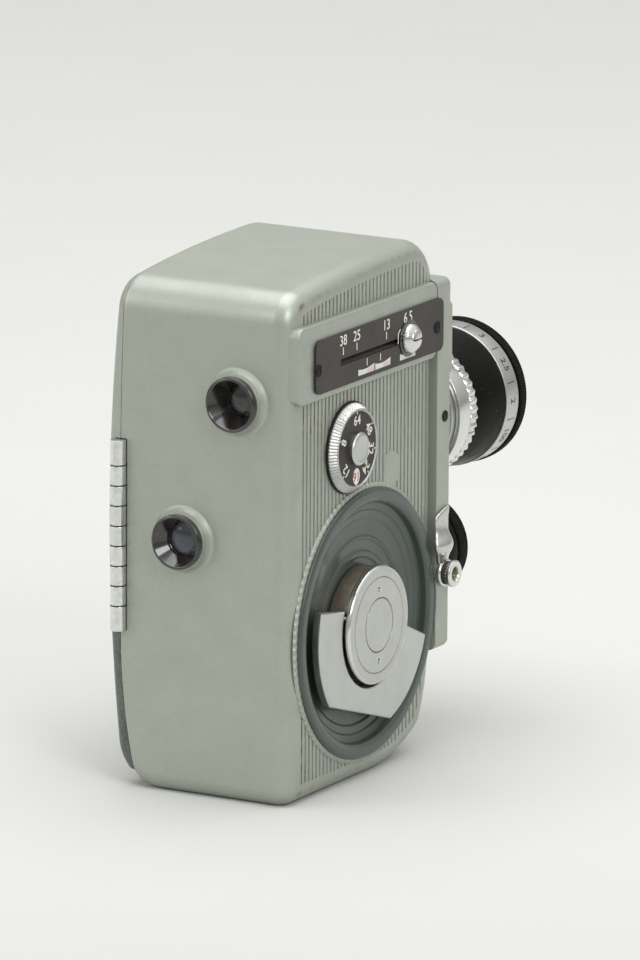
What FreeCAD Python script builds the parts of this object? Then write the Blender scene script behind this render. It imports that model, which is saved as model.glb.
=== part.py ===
import FreeCAD, Part
import math
import os

from FreeCAD import Placement, Rotation, Vector

# Spring-wound double-8 mm cine camera. Millimetres. +X is the camera's own right (the
# controls), +Y is forward (the lenses), +Z is up. The origin is the mouth of the tripod
# bush in the base, straight below the winding axis.

# ---- driving dimensions -------------------------------------------------------------
HEIGHT = 127.5
BACK_Y = -36.0
FRONT_Y = 35.0
RIGHT_X = 26.0
LEFT_X = -25.1
WALL = 1.8

BACK_TOP_R = 8.0          # rear top corner, seen from the side
FRONT_TOP_R = 12.0        # front top corner
CROWN_R = 427.0           # shallow rise of the roof
TOE_R = (45.0, 7.0)       # the two upper arcs of the front's foot
TOE_TURNS = (25.0, 62.0)  # slope of the foot after each of them, degrees
TOE_Z = 27.5              # height where the foot starts
SIDE_R = 524.0            # shallow bulge of the left side
SIDE_Z = 65.0             # height of its widest place
FOOT_R = 12.0             # left side's lower corner
RIGHT_EDGE_R = 4.5
DOOR_EDGE_R = 4.0
SEAM_GAP = 0.12
SEAM = ((-18.7, 140.0), (-20.2, 88.0), (-20.2, 40.0), (-18.9, 17.6), (-16.5, 4.2))
BASE_LEFT = (-13.9, -0.5)

RIB_PITCH = 1.75
RIB_GROOVE = 0.7
RIB_DEPTH = 0.35
RIB_INSET = 4.9

PAD_X = 27.6
PAD_Z = (97.6, 116.4)
PAD_BACK_Y = -34.6
LIP_Y = 32.7              # where the front plate's side lip starts
PLATE_Y = 39.8            # face of the front plate
PLATE_Z = (24.7, 116.4)
PLATE_LEFT_X = -19.6

SCALE_X = 28.3
SCALE_Y = (-27.6, 34.3)
SCALE_Z = (99.4, 112.3)
SLOT_Z = 105.3
SLOT_Y = (-15.9, 18.1)
ZOOM_Y = 17.0             # slider at its widest setting
SCALE_SCREWS = (-26.4, 31.2)
FRONT_SCREW = (36.6, 82.4)

DIAL = (-8.0, 83.0)       # speed dial axis, Y and Z
DIAL_R = 11.2
KEY = (0.0, 38.4)         # winding axis
DISH_R = 33.0
DISH_SEAT_R = 31.3
DISH_RIM_X = 27.5
DISH_FLOOR_X = 23.8
HUB_R = 14.47
HUB_X = 30.3
CAP_R = 11.7
HANDLE_ANGLE = -17.0      # the folding axis in the YZ plane, degrees from +Y
HANDLE_R = 26.5
HANDLE_INNER_R = 15.4
HANDLE_CHORD = 21.5
HANDLE_X = (27.0, 29.0)
PIVOT_PIN_R = 0.6

FINDER = (11.74, 97.6)    # finder axis, X and Z
FOCUS = (-2.99, 62.57)    # focusing eyepiece axis
EYE_SEAT_R = 5.6
EYE_R = 6.72
EYE_Y = -40.0

HINGE = (-20.4, -37.0)    # door hinge axis, X and Y
HINGE_Z = (38.5, 85.2)
KNUCKLE_R = 1.9
PIN_R = 0.75

TURRET_Z = 57.5
LENS_OFFSET = 17.65
TURRET_Y = (40.0, 43.4)
SEAT_R = 7.94             # lens mount thread
FILM_Y = 29.5             # film plane

SOCKET = (35.8, 43.8)     # cable-release socket axis, Y and Z
SOCKET_BORE_R = 1.5
TRIPOD_R = 2.6            # tapping size of a 1/4 inch tripod thread

DECK_X = (5.6, 6.6)       # mechanism plate
SPOOL_R = 25.4
SPOOL_X = (-13.2, 5.2)
SUPPLY = (-8.0, 98.0)
TAKEUP = (-8.0, 32.4)
SPINDLE_R = 4.0

RUN = 0.03                # running clearance on radius
WHEEL_MODULE = 0.8
FINE_MODULE = 0.5
SMALL_MODULE = 0.4
GREAT_TEETH = 60
PINION_TEETH = 15
HUB_GEAR_TEETH = 24
TAKEUP_TEETH = 16
WHEEL_TEETH = 30
GOVERNOR_TEETH = 12
CONTRATE_TEETH = 30
SHUTTER_TEETH = 10
ARBOR_R = 0.8
DRIVE_ANGLE = 62.0        # direction from the winding axis to the drive arbor
GOVERNOR_ANGLE = 76.24    # direction from the drive arbor to the governor arbor
SHUTTER_X = 9.2
SHUTTER_R = 12.5

LENS_TOP = (0.0, TURRET_Z + LENS_OFFSET)
LENS_LOW = (0.0, TURRET_Z - LENS_OFFSET)


def rad(angle):
    return math.radians(angle)


def polar(centre, radius, angle):
    return (centre[0] + radius * math.cos(rad(angle)), centre[1] + radius * math.sin(rad(angle)))


def gear_distance(module, teeth_a, teeth_b):
    return module * (teeth_a + teeth_b) / 2


DRIVE = polar(KEY, gear_distance(WHEEL_MODULE, GREAT_TEETH, PINION_TEETH), DRIVE_ANGLE)
GOVERNOR = polar(DRIVE, gear_distance(SMALL_MODULE, WHEEL_TEETH, GOVERNOR_TEETH), GOVERNOR_ANGLE)


# ---- helpers ------------------------------------------------------------------------
def save(name, shape):
    shape.exportStep("parts/%s.step" % name)


def box(x, y, z):
    return Part.makeBox(x[1] - x[0], y[1] - y[0], z[1] - z[0], Vector(x[0], y[0], z[0]))


def stand(shape, axis, centre):
    """turn a shape built about Z onto another axis; centre is the two other coordinates"""
    if axis == "x":
        turn, at = Rotation(Vector(0, 1, 0), 90), Vector(0, centre[0], centre[1])
    elif axis == "y":
        turn, at = Rotation(Vector(1, 0, 0), -90), Vector(centre[0], 0, centre[1])
    else:
        turn, at = Rotation(), Vector(centre[0], centre[1], 0)
    shape.Placement = Placement(at, turn)
    return shape


def rod(axis, centre, radius, span):
    return stand(Part.makeCylinder(radius, span[1] - span[0], Vector(0, 0, span[0])), axis, centre)


def tube(axis, centre, outer, inner, span):
    return rod(axis, centre, outer, span).cut(rod(axis, centre, inner, span))


def turned(axis, centre, profile):
    """a closed (radius, place along the axis) profile turned about the axis"""
    points = [Vector(r, 0, s) for r, s in profile]
    face = Part.Face(Part.makePolygon(points + points[:1]))
    return stand(face.revolve(Vector(0, 0, 0), Vector(0, 0, 1), 360), axis, centre)


def lens(axis, centre, radius, span, bulge):
    """a round glass with bulging faces"""
    a, b = span
    ball_r = (radius ** 2 + bulge ** 2) / (2 * bulge)
    blank = Part.makeCylinder(radius, b - a, Vector(0, 0, a))
    low = Part.makeSphere(ball_r, Vector(0, 0, a + ball_r))
    high = Part.makeSphere(ball_r, Vector(0, 0, b - ball_r))
    return stand(blank.common(low).common(high), axis, centre)


def plate(x, y, z, axis, corner):
    """a box with its four edges along one axis rounded"""
    shape = box(x, y, z)
    along = {"x": Vector(1, 0, 0), "y": Vector(0, 1, 0), "z": Vector(0, 0, 1)}[axis]
    edges = [e for e in shape.Edges if abs(abs(e.tangentAt(0).dot(along)) - 1) < 1e-6]
    return shape.makeFillet(corner, edges)


def prism(points, direction):
    return Part.Face(Part.makePolygon(points + points[:1])).extrude(direction)


def fuse(shapes):
    return shapes[0].multiFuse(shapes[1:]).removeSplitter()


def gear(axis, centre, span, module, teeth, phase, bore):
    """a spur gear; phase is the direction of the middle of one tooth"""
    pitch_r = module * teeth / 2
    tip_r = pitch_r + 0.75 * module
    root_r = pitch_r - 1.2 * module
    half = 0.19 * math.pi * module
    tip = math.degrees((half - 0.75 * module * math.tan(rad(18))) / tip_r)
    root = math.degrees((half + 1.2 * module * math.tan(rad(14))) / root_r)
    points = []
    for i in range(teeth):
        middle = phase + 360.0 * i / teeth
        for r, a in ((root_r, -root), (tip_r, -tip), (tip_r, tip), (root_r, root)):
            u, v = polar(centre, r, middle + a)
            points.append(Vector(span[0], u, v) if axis == "x" else Vector(u, span[0], v))
    depth = span[1] - span[0]
    blank = prism(points, Vector(depth, 0, 0) if axis == "x" else Vector(0, depth, 0))
    return blank.cut(rod(axis, centre, bore, span)) if bore else blank


def mesh_phase(direction, teeth):
    """phase that puts a gap of this gear where it faces back along direction"""
    return direction + 180.0 + 180.0 / teeth


# ---- the body's outer form ------------------------------------------------------------
def outline(place, inset, arcs, corners):
    """a closed wire of arcs (centre, radius, from, to) joined by lines, pulled in by inset"""
    edges = []
    last = None
    for centre, radius, a0, a1 in arcs:
        r = radius - inset
        start, middle, end = [place(*polar(centre, r, a)) for a in (a0, (a0 + a1) / 2, a1)]
        if last is None:
            first = start
        elif last.distanceToPoint(start) > 1e-6:
            edges.append(Part.makeLine(last, start))
        edges.append(Part.Arc(start, middle, end).toShape())
        last = end
    for corner in corners:
        edges.append(Part.makeLine(last, place(*corner)))
        last = place(*corner)
    edges.append(Part.makeLine(last, first))
    return Part.Wire(edges)


def side_outline(inset):
    """the body seen from its right side"""
    brow = (FRONT_Y - FRONT_TOP_R, HEIGHT - FRONT_TOP_R)
    crown = (brow[0], HEIGHT - CROWN_R)
    reach = brow[0] - BACK_Y - BACK_TOP_R
    nape_angle = math.degrees(math.acos(-reach / (CROWN_R - BACK_TOP_R)))
    nape = polar(crown, CROWN_R - BACK_TOP_R, nape_angle)
    shin = (FRONT_Y - TOE_R[0], TOE_Z)
    toe = polar(shin, TOE_R[0] - TOE_R[1], -TOE_TURNS[0])
    toe_end = polar(toe, TOE_R[1], -TOE_TURNS[1])
    sole_r = toe_end[1] / (1 - math.sin(rad(TOE_TURNS[1])))
    sole = polar(toe, TOE_R[1] - sole_r, -TOE_TURNS[1])
    arcs = [
        (nape, BACK_TOP_R, 180, nape_angle),
        (crown, CROWN_R, nape_angle, 90),
        (brow, FRONT_TOP_R, 90, 0),
        (shin, TOE_R[0], 0, -TOE_TURNS[0]),
        (toe, TOE_R[1], -TOE_TURNS[0], -TOE_TURNS[1]),
        (sole, sole_r, -TOE_TURNS[1], -90),
    ]
    return outline(lambda y, z: Vector(0, y, z), inset, arcs, [(BACK_Y + inset, inset)])


def front_outline(inset):
    """the body seen from the front; it runs past the roof, which trims it"""
    side = (LEFT_X + SIDE_R, SIDE_Z)
    top_z = HEIGHT + 8
    slope = math.degrees(math.asin((SIDE_Z - FOOT_R) / (SIDE_R - FOOT_R)))
    foot = (side[0] - (SIDE_R - FOOT_R) * math.cos(rad(slope)), FOOT_R)
    rise = math.degrees(math.asin((top_z - SIDE_Z) / (SIDE_R - inset)))
    arcs = [(foot, FOOT_R, 270, 180 + slope), (side, SIDE_R, 180 + slope, 180 - rise)]
    right = RIGHT_X - inset
    return outline(lambda x, z: Vector(x, 0, z), inset, arcs, [(right, top_z), (right, inset)])


def form(inset):
    side = Part.Face(side_outline(inset))
    side.translate(Vector(2 * LEFT_X, 0, 0))
    front = Part.Face(front_outline(inset))
    front.translate(Vector(0, 2 * BACK_Y, 0))
    return side.extrude(Vector(-4 * LEFT_X, 0, 0)).common(front.extrude(Vector(0, -4 * BACK_Y, 0)))


def rounded_form():
    shape = form(0)
    right = [e for e in shape.Edges if e.BoundBox.XMin > RIGHT_X - 0.01 and e.CenterOfMass.z > 0.5]
    shape = shape.makeFillet(RIGHT_EDGE_R, right)
    left = []
    for e in shape.Edges:
        level = e.BoundBox.YLength > 60 and e.BoundBox.ZLength < 0.1
        if e.BoundBox.XMax < LEFT_X + 15 and e.CenterOfMass.z > 0.5 and not level:
            left.append(e)
    return shape.makeFillet(DOOR_EDGE_R, left)


def body_side(shift):
    """everything on the body's side of the door seam, the seam moved by shift along X"""
    top, middle, bend, low, foot = [Vector(x + shift, -80, z) for x, z in SEAM]
    edges = [Part.Arc(top, middle, bend).toShape(), Part.Arc(bend, low, foot).toShape()]
    far = 80.0
    base = Vector(BASE_LEFT[0] + shift, -80, BASE_LEFT[1])
    corners = [foot, base, Vector(far, -80, -5), Vector(far, -80, top.z), top]
    edges += [Part.makeLine(a, b) for a, b in zip(corners, corners[1:])]
    return Part.Face(Part.Wire(edges)).extrude(Vector(0, 200, 0))


OUTER = rounded_form()
CAVITY = form(WALL)


def ribs():
    """the grooves between the ribs of the right side"""
    field = Part.Face(side_outline(RIB_INSET)).extrude(Vector(10, 0, 0))
    field.translate(Vector(RIGHT_X - 5, 0, 0))
    field = field.fuse(box((RIGHT_X - 5, RIGHT_X + 5), (20, LIP_Y - 0.6), (PLATE_Z[0], PLATE_Z[1])))
    count = int((LIP_Y - BACK_Y - RIB_INSET) / RIB_PITCH)
    grooves = []
    for i in range(count):
        y = LIP_Y - 1.0 - i * RIB_PITCH
        across = (y - RIB_GROOVE / 2, y + RIB_GROOVE / 2)
        grooves.append(box((RIGHT_X - RIB_DEPTH, RIGHT_X + 1), across, (0, HEIGHT)))
    return Part.makeCompound(grooves).common(field)


def winding_mark():
    """the smooth arrow among the ribs, pointing the way the key is wound"""
    outline_yz = (
        (8.3, 69.0), (9.5, 72.2), (9.6, 75.6), (10.3, 77.4), (13.2, 78.4),
        (16.8, 76.4), (16.9, 70.2), (14.8, 70.2), (14.8, 67.0),
    )
    arrow = prism([Vector(RIGHT_X - 1, y, z) for y, z in outline_yz], Vector(1.05, 0, 0))
    return arrow.cut(rod("x", KEY, DISH_R + 0.2, (20, 30)))


LATCH = (24.0, 66.0)
DECK_POSTS = ((-30.5, 114.0), (25.0, 116.5), (-31.0, 6.5), (26.0, 14.0))
PILLARS = ((22.0, 60.0), (6.0, 72.0))
GATE_POSTS = ((-11.0, 60.5), (-11.0, 90.0), (12.4, 90.0))
HINGE_BED = (HINGE_Z[0] - 0.1, HINGE_Z[1] + 0.1)
LIP_BACK_Y = -29.5        # the light-trap lip stops here, clear of the swinging door


def eye_collar(centre):
    profile = (
        (EYE_SEAT_R, -35.8), (8.6, -35.8), (7.7, -36.5), (7.2, -37.4), (7.0, -38.4), (EYE_SEAT_R, -38.4),
    )
    return turned("y", centre, profile)


def rim_ring(outer, inner):
    """a band that follows the side outline between two insets, across the door seam"""
    ring = Part.Face(side_outline(outer)).cut(Part.Face(side_outline(inner)))
    ring.translate(Vector(-24, 0, 0))
    return ring.extrude(Vector(9, 0, 0))


def seam_lip():
    """light-trap lip that stands out of the body into the door"""
    root = rim_ring(WALL - 0.1, WALL + 1.1).common(body_side(0)).cut(body_side(3))
    root = root.common(form(WALL - 0.1))
    lip = rim_ring(WALL + 0.15, WALL + 1.1).common(body_side(-1.4)).cut(body_side(0))
    lip = lip.common(form(WALL + 0.15))
    return [root, lip.common(box((-40, 10), (LIP_BACK_Y, 60), (SEAM[-1][1] + 0.3, HEIGHT)))]


def body_shell():
    shell = OUTER.common(body_side(0)).cut(CAVITY)
    shell = shell.cut(ribs())
    pad = plate((24.3, PAD_X), (PAD_BACK_Y, LIP_Y - 0.05), PAD_Z, "x", 2.5)
    face = [e for e in pad.Edges if e.BoundBox.XMin > PAD_X - 0.01]
    pad = pad.makeFillet(0.7, face)
    added = [pad, winding_mark(), eye_collar(FINDER), eye_collar(FOCUS)]
    added += seam_lip()
    for centre in DECK_POSTS:
        added.append(rod("x", centre, 2.6, (DECK_X[1], RIGHT_X - WALL + 0.2)))
    for centre in GATE_POSTS:
        added.append(rod("y", centre, 1.5, (30.6, FRONT_Y - WALL + 0.2)))
    added.append(rod("z", (0, 0), 8.0, (WALL - 0.1, 5.4)))
    added.append(box((-19.4, -18.6), (30.4, FRONT_Y - WALL + 0.1), (LATCH[1] - 4, LATCH[1] + 4)))
    shell = fuse([shell] + added)
    tools = [
        rod("x", KEY, DISH_SEAT_R, (20, 40)),
        rod("x", DIAL, 1.5 + RUN, (20, 40)),
        box((20, 40), (SLOT_Y[0], SLOT_Y[1]), (SLOT_Z - 0.9, SLOT_Z + 0.9)),
        rod("y", FINDER, EYE_SEAT_R, (-50, -30)),
        rod("y", FOCUS, EYE_SEAT_R, (-50, -30)),
        rod("y", LENS_TOP, 5.0, (30, 50)),
        box((6.2, 17.4), (30, 50), (92.8, 102.4)),
        rod("y", (FINDER[0], SLOT_Z), 1.0, (-35, 34)),
        rod("y", (SHUTTER_X, GOVERNOR[1]), 0.9 + RUN, (30, 34.4)),
        rod("z", (0, 0), 6.0, (-1, 10)),
        rod("z", HINGE, KNUCKLE_R + 0.15, HINGE_BED),
        box((-21.4, -19.5), (BACK_Y - 1, -29.9), HINGE_BED),
        rod("y", (0, TURRET_Z), 1.5, (30, 50)),
        rod("x", SOCKET, 2.0, (22.4, 40)),
        rod("x", FRONT_SCREW, 0.8, (23.4, 40)),
    ]
    for y in SCALE_SCREWS:
        tools.append(rod("x", (y, SLOT_Z), 0.7, (24.6, 40)))
    for centre in DECK_POSTS:
        tools.append(rod("x", centre, 1.0, (DECK_X[1] - 1, DECK_X[1] + 8)))
    return shell.cut(Part.makeCompound(tools))


def front_plate():
    shape = plate((PLATE_LEFT_X, PAD_X), (LIP_Y, PLATE_Y), PLATE_Z, "y", 2.0)
    rim = [e for e in shape.Edges if e.BoundBox.YMin > PLATE_Y - 0.01]
    shape = shape.makeFillet(1.4, rim)
    tools = [
        OUTER,
        box((-40, 15), (LIP_Y - 1, FRONT_Y), (0, 140)),
        rod("y", LENS_TOP, 6.5, (30, 50)),
        rod("y", LENS_LOW, 6.5, (37.5, 50)),
        box((6.2, 17.4), (30, 50), (92.8, 102.4)),
        rod("y", (0, TURRET_Z), 1.5, (30, 50)),
        rod("x", SOCKET, 2.0, (22.4, 40)),
        rod("x", FRONT_SCREW, 0.8, (23.4, 40)),
        rod("x", KEY, DISH_R + 0.1, (20, 40)),
    ]
    return shape.cut(Part.makeCompound(tools))


# ---- outside fittings -----------------------------------------------------------------
def finder_window_block():
    block = plate((1.5, 26.0), (PLATE_Y, 43.4), (91.0, 110.0), "y", 2.0)
    rim = [e for e in block.Edges if e.BoundBox.YMin > 43.39]
    block = block.makeFillet(0.8, rim)
    window = plate((4.5, 19.0), (PLATE_Y - 1, 50), (93.6, 104.6), "y", 0.8)
    return block.cut(window)


def finder_front_lens():
    return plate((4.5, 19.0), (40.6, 42.4), (93.6, 104.6), "y", 0.8)


def scale_plate():
    shape = plate((PAD_X, SCALE_X), SCALE_Y, SCALE_Z, "x", 2.0)
    tools = [box((20, 40), (SLOT_Y[0], SLOT_Y[1]), (SLOT_Z - 0.8, SLOT_Z + 0.8))]
    for y in SCALE_SCREWS:
        tools.append(rod("x", (y, SLOT_Z), 0.7, (20, 40)))
    return shape.cut(Part.makeCompound(tools))


def slotted_screw(axis, centre, head_r, shank_r, foot, seat, top, slot):
    """a domed slotted screw whose head stands from seat to top"""
    head = (top - seat)
    profile = ((0, foot), (shank_r, foot), (shank_r, seat), (head_r, seat), (head_r, seat + head * 0.35),
               (head_r * 0.8, seat + head * 0.8), (head_r * 0.4, top), (0, top))
    screw = turned(axis, centre, profile)
    cutter = Part.makeBox(head_r * 4, slot, head, Vector(-head_r * 2, -slot / 2, top - head * 0.5))
    cutter.rotate(Vector(0, 0, 0), Vector(0, 0, 1), 35)
    return screw.cut(stand(cutter, axis, centre))


def scale_plate_screws():
    screws = []
    for y in SCALE_SCREWS:
        screws.append(slotted_screw("x", (y, SLOT_Z), 1.5, 0.7, 24.8, SCALE_X, SCALE_X + 0.5, 0.35))
    return Part.makeCompound(screws)


def wind_dish():
    seat = DISH_SEAT_R
    profile = (
        (3.2, 22.8), (seat, 22.8), (seat, RIGHT_X), (DISH_R, RIGHT_X), (DISH_R, 26.9),
        (32.7, 27.3), (32.1, DISH_RIM_X), (30.3, DISH_RIM_X), (29.7, 27.3), (29.3, 26.8),
        (29.1, 25.2), (27.4, 25.0), (27.1, 24.5), (25.4, 24.3), (25.1, DISH_FLOOR_X),
        (3.2, DISH_FLOOR_X),
    )
    return turned("x", KEY, profile)


def eyepiece(centre, lens_r, throat_y):
    profile = (
        (EYE_SEAT_R, -33.0), (EYE_SEAT_R, -38.4), (EYE_R, -38.4), (EYE_R, -39.5), (6.4, -39.9),
        (6.1, EYE_Y), (5.8, -39.8), (lens_r, throat_y), (lens_r, -33.0),
    )
    return turned("y", centre, profile)


def focus_tube():
    """sight tube of the lower eyepiece, ending in its prism box behind the film gate"""
    barrel = rod("y", FOCUS, 3.2, (-33.0, 17.0)).cut(rod("y", FOCUS, 2.7, (-34.0, 16.0)))
    prism_box = plate((-6.2, 3.0), (17.0, 23.6), (59.0, 79.0), "x", 1.0)
    hollow = box((-5.4, 2.2), (17.8, 22.8), (59.8, 78.2))
    light = rod("y", LENS_TOP, 2.0, (20, 26))
    bore = rod("y", FOCUS, 2.7, (15, 18))
    return fuse([barrel, prism_box]).cut(Part.makeCompound([hollow, light, bore]))


def knuckles(first):
    """every second knuckle of the hinge; the end ones are longer"""
    end = 6.2
    inner = (HINGE_Z[1] - HINGE_Z[0] - 2 * end) / 7
    marks = [HINGE_Z[0]] + [HINGE_Z[0] + end + inner * i for i in range(8)] + [HINGE_Z[1]]
    spans = list(zip(marks, marks[1:]))[first::2]
    return [(a + 0.04, b - 0.04) for a, b in spans]


def hinge_leaf(first, bore, web_x):
    pieces = [rod("z", HINGE, KNUCKLE_R, span) for span in knuckles(first)]
    for span in knuckles(first):
        pieces.append(box(web_x, (HINGE[1], -34.8), span))
    pieces.append(box(web_x, (-35.0, -30.0), HINGE_Z))
    return fuse(pieces).cut(rod("z", HINGE, bore, (0, 140)))


def tripod_bush():
    bush = turned("z", (0, 0), ((TRIPOD_R, 0.0), (6.0, 0.0), (6.0, 5.6), (TRIPOD_R, 5.6)))
    return fuse([bush, rod("z", (0, 0), 6.0, (5.6, 6.2))])


def release_socket():
    """bush for a cable release, with a knurled neck the release lever turns on"""
    profile = (
        (0, 22.6), (2.0, 22.6), (2.0, 27.65), (2.35, 27.65), (2.35, 30.0), (2.0, 30.1),
        (2.0, 30.3), (3.3, 30.4), (3.3, 31.1), (3.0, 31.4), (1.9, 31.4), (SOCKET_BORE_R, 31.0),
        (SOCKET_BORE_R, 25.0), (0, 25.0),
    )
    return turned("x", SOCKET, profile)


def release_lever():
    y, z = SOCKET
    eye = rod("x", SOCKET, 3.5, (27.72, 29.0))
    stem = box((27.72, 29.0), (y - 4.2, y + 1.6), (z + 1.5, z + 6.4))
    bulb = Part.makeSphere(4.3, Vector(27.9, y - 2.6, z + 7.2))
    bulb = bulb.common(box((27.72, 29.3), (0, 60), (30, 80)))
    blade_yz = (
        (y - 4.6, z + 8.0), (y + 1.6, z + 8.0), (y + 2.2, z + 15.6), (y - 1.0, z + 16.0),
        (y - 5.0, z + 14.2),
    )
    blade = prism([Vector(27.72, a, b) for a, b in blade_yz], Vector(1.0, 0, 0))
    return fuse([eye, stem, bulb, blade]).cut(rod("x", SOCKET, 2.35 + RUN, (20, 40)))


def front_plate_screw():
    return slotted_screw("x", FRONT_SCREW, 1.4, 0.8, 23.6, PAD_X, PAD_X + 0.45, 0.3)


# ---- door -----------------------------------------------------------------------------
def door_shell():
    gap = SEAM_GAP
    shell = OUTER.cut(CAVITY).cut(body_side(-gap))
    shell = shell.cut(box((-40, 0), (-60, 60), (-5, SEAM[-1][1] + gap)))
    tools = [
        rod("z", HINGE, KNUCKLE_R + 0.15, HINGE_BED),
        box((-21.1, -18.0), (BACK_Y - 1, -29.9), HINGE_BED),
        rod("x", LATCH, 2.0 + RUN, (-40, 0)),
    ]
    return shell.cut(Part.makeCompound(tools))


def door_panel():
    """thin covering panel on the lower part of the door's outer face"""
    skin = form(-0.5).cut(form(0))
    return skin.common(plate((-40, -18), (-31.0, 29.0), (16.5, 56.5), "x", 3.0))


def latch_knob():
    """turning knob with its spindle and the tongue behind the door"""
    profile = (
        (0, -17.4), (2.0, -17.4), (2.0, -25.4), (8.0, -25.4), (8.0, -26.3), (7.6, -26.7),
        (0, -26.7),
    )
    knob = turned("x", LATCH, profile)
    y, z = LATCH
    grip = plate((-28.2, -26.6), (y - 1.1, y + 1.1), (z - 6.6, z + 6.6), "x", 1.0)
    tongue = plate((-18.4, -17.4), (y - 1.9, y + 1.9), (z - 2.4, z + 8.0), "x", 1.5)
    return fuse([knob, grip, tongue])


def spool_springs():
    """one arched leaf for each spool"""
    leaves = []
    for y, z in (SUPPLY, TAKEUP):
        half, high, thick = 11.0, 7.5, 0.45
        x = -21.3
        low, top = Vector(x, y + 10, z - half), Vector(x, y + 10, z + half)
        low_in, top_in = low + Vector(0, 0, thick), top - Vector(0, 0, thick)
        wire = Part.Wire([
            Part.Arc(low, Vector(x + high, y + 10, z), top).toShape(),
            Part.makeLine(top, top_in),
            Part.Arc(top_in, Vector(x + high - thick, y + 10, z), low_in).toShape(),
            Part.makeLine(low_in, low),
        ])
        leaves.append(Part.Face(wire).extrude(Vector(0, 6, 0)))
    return Part.makeCompound(leaves)


# ---- winding key ------------------------------------------------------------------------
def wind_hub():
    profile = (
        (0, 5.6), (2.0, 5.6), (2.0, 7.0), (3.0, 7.0), (3.0, 23.9), (HUB_R, 23.9), (HUB_R, 29.9),
        (14.1, HUB_X), (CAP_R, HUB_X), (CAP_R, 29.5), (0, 29.5),
    )
    hub = turned("x", KEY, profile)
    return hub.cut(pivot_pins_shape(PIVOT_PIN_R))


def hub_cap():
    profile = (
        (0, 29.5), (CAP_R, 29.5), (CAP_R, 30.2), (CAP_R - 0.2, 30.35), (6.75, 30.35),
        (6.75, 30.2), (6.45, 30.2), (6.45, 30.35), (0, 30.35),
    )
    holes = [rod("x", polar(KEY, 8.8, a), 0.75, (29.8, 32)) for a in (90, -90)]
    return turned("x", KEY, profile).cut(Part.makeCompound(holes))


def handle_point(along, across, x):
    """a point given along the folding axis and across it, towards the plate"""
    a, b = rad(HANDLE_ANGLE), rad(HANDLE_ANGLE - 90)
    y = KEY[0] + along * math.cos(a) + across * math.cos(b)
    z = KEY[1] + along * math.sin(a) + across * math.sin(b)
    return Vector(x, y, z)


def pivot_pins_shape(radius):
    middle = sum(HANDLE_X) / 2
    pins = []
    for side in (-1, 1):
        start, end = handle_point(side * 12.6, 0, middle), handle_point(side * 19.0, 0, middle)
        pins.append(Part.makeCylinder(radius, start.distanceToPoint(end), start, end - start))
    return Part.makeCompound(pins)


def wind_handle():
    x = HANDLE_X[0]
    half = math.sqrt(HANDLE_R ** 2 - HANDLE_CHORD ** 2)
    flank = math.degrees(math.acos(HANDLE_CHORD / HANDLE_R))

    def on_circle(radius, angle):
        return handle_point(radius * math.sin(rad(angle)), radius * math.cos(rad(angle)), x)

    left, right = handle_point(-half, HANDLE_CHORD, x), handle_point(half, HANDLE_CHORD, x)
    tip_l, tip_r = on_circle(HANDLE_R, -90), on_circle(HANDLE_R, 90)
    heel_l, heel_r = handle_point(-HANDLE_INNER_R, -1.5, x), handle_point(HANDLE_INNER_R, -1.5, x)
    inner_l, inner_r = on_circle(HANDLE_INNER_R, -90), on_circle(HANDLE_INNER_R, 90)
    edges = [
        Part.makeLine(left, right),
        Part.Arc(right, on_circle(HANDLE_R, (flank + 90) / 2), tip_r).toShape(),
        Part.makeLine(tip_r, heel_r),
        Part.makeLine(heel_r, inner_r),
        Part.Arc(inner_r, on_circle(HANDLE_INNER_R, 0), inner_l).toShape(),
        Part.makeLine(inner_l, heel_l),
        Part.makeLine(heel_l, tip_l),
        Part.Arc(tip_l, on_circle(HANDLE_R, -(flank + 90) / 2), left).toShape(),
    ]
    blank = Part.Face(Part.Wire(edges)).extrude(Vector(HANDLE_X[1] - HANDLE_X[0], 0, 0))
    rim = [e for e in blank.Edges if e.BoundBox.XMin > HANDLE_X[1] - 0.01]
    return blank.makeChamfer(0.25, rim).cut(pivot_pins_shape(PIVOT_PIN_R + RUN))


# ---- dial and zoom slider ---------------------------------------------------------------
def speed_dial():
    profile = (
        (0, 22.0), (1.5, 22.0), (1.5, 26.08), (DIAL_R, 26.08), (DIAL_R, 26.7), (9.4, 28.5),
        (9.1, 28.7), (8.9, 28.5), (4.1, 28.5), (4.1, 28.2), (0, 28.2),
    )
    return turned("x", DIAL, profile)


def speed_dial_knob():
    profile = ((0, 28.2), (4.1, 28.2), (4.1, 29.4), (3.7, 29.8), (0, 29.8))
    return turned("x", DIAL, profile)


def zoom_knob():
    profile = (
        (0, 12.9), (0.75, 12.9), (0.75, 28.36), (4.5, 28.36), (4.5, 28.6), (3.75, 28.6),
        (3.75, 29.2), (3.4, 29.9), (2.4, 30.8), (1.2, 31.2), (0, 31.3),
    )
    knob = turned("x", (ZOOM_Y, SLOT_Z), profile)
    slot = box((30.3, 32), (ZOOM_Y - 5, ZOOM_Y + 5), (SLOT_Z - 0.3, SLOT_Z + 0.3))
    return knob.cut(slot)


RING_FLAT_X = 7.5         # flat on the lens ring, clear of the supply spindle


def zoom_carriage():
    x, z = FINDER
    sleeve = rod("y", (x, SLOT_Z), 2.0, (ZOOM_Y - 3.5, ZOOM_Y + 3.5))
    arm = box((x - 0.9, x + 0.9), (ZOOM_Y - 1.5, ZOOM_Y + 1.5), (z + 4.4, SLOT_Z - 1.5))
    ring = rod("y", FINDER, 4.9, (ZOOM_Y - 1.5, ZOOM_Y + 1.5))
    tools = [
        rod("y", FINDER, 4.2, (0, 30)),
        rod("y", (x, SLOT_Z), 1.0 + RUN, (0, 30)),
        rod("x", (ZOOM_Y, SLOT_Z), 0.75, (12.9, 20)),
        box((0, RING_FLAT_X), (0, 30), (80, 110)),
    ]
    return fuse([sleeve, arm, ring]).cut(Part.makeCompound(tools))


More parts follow.
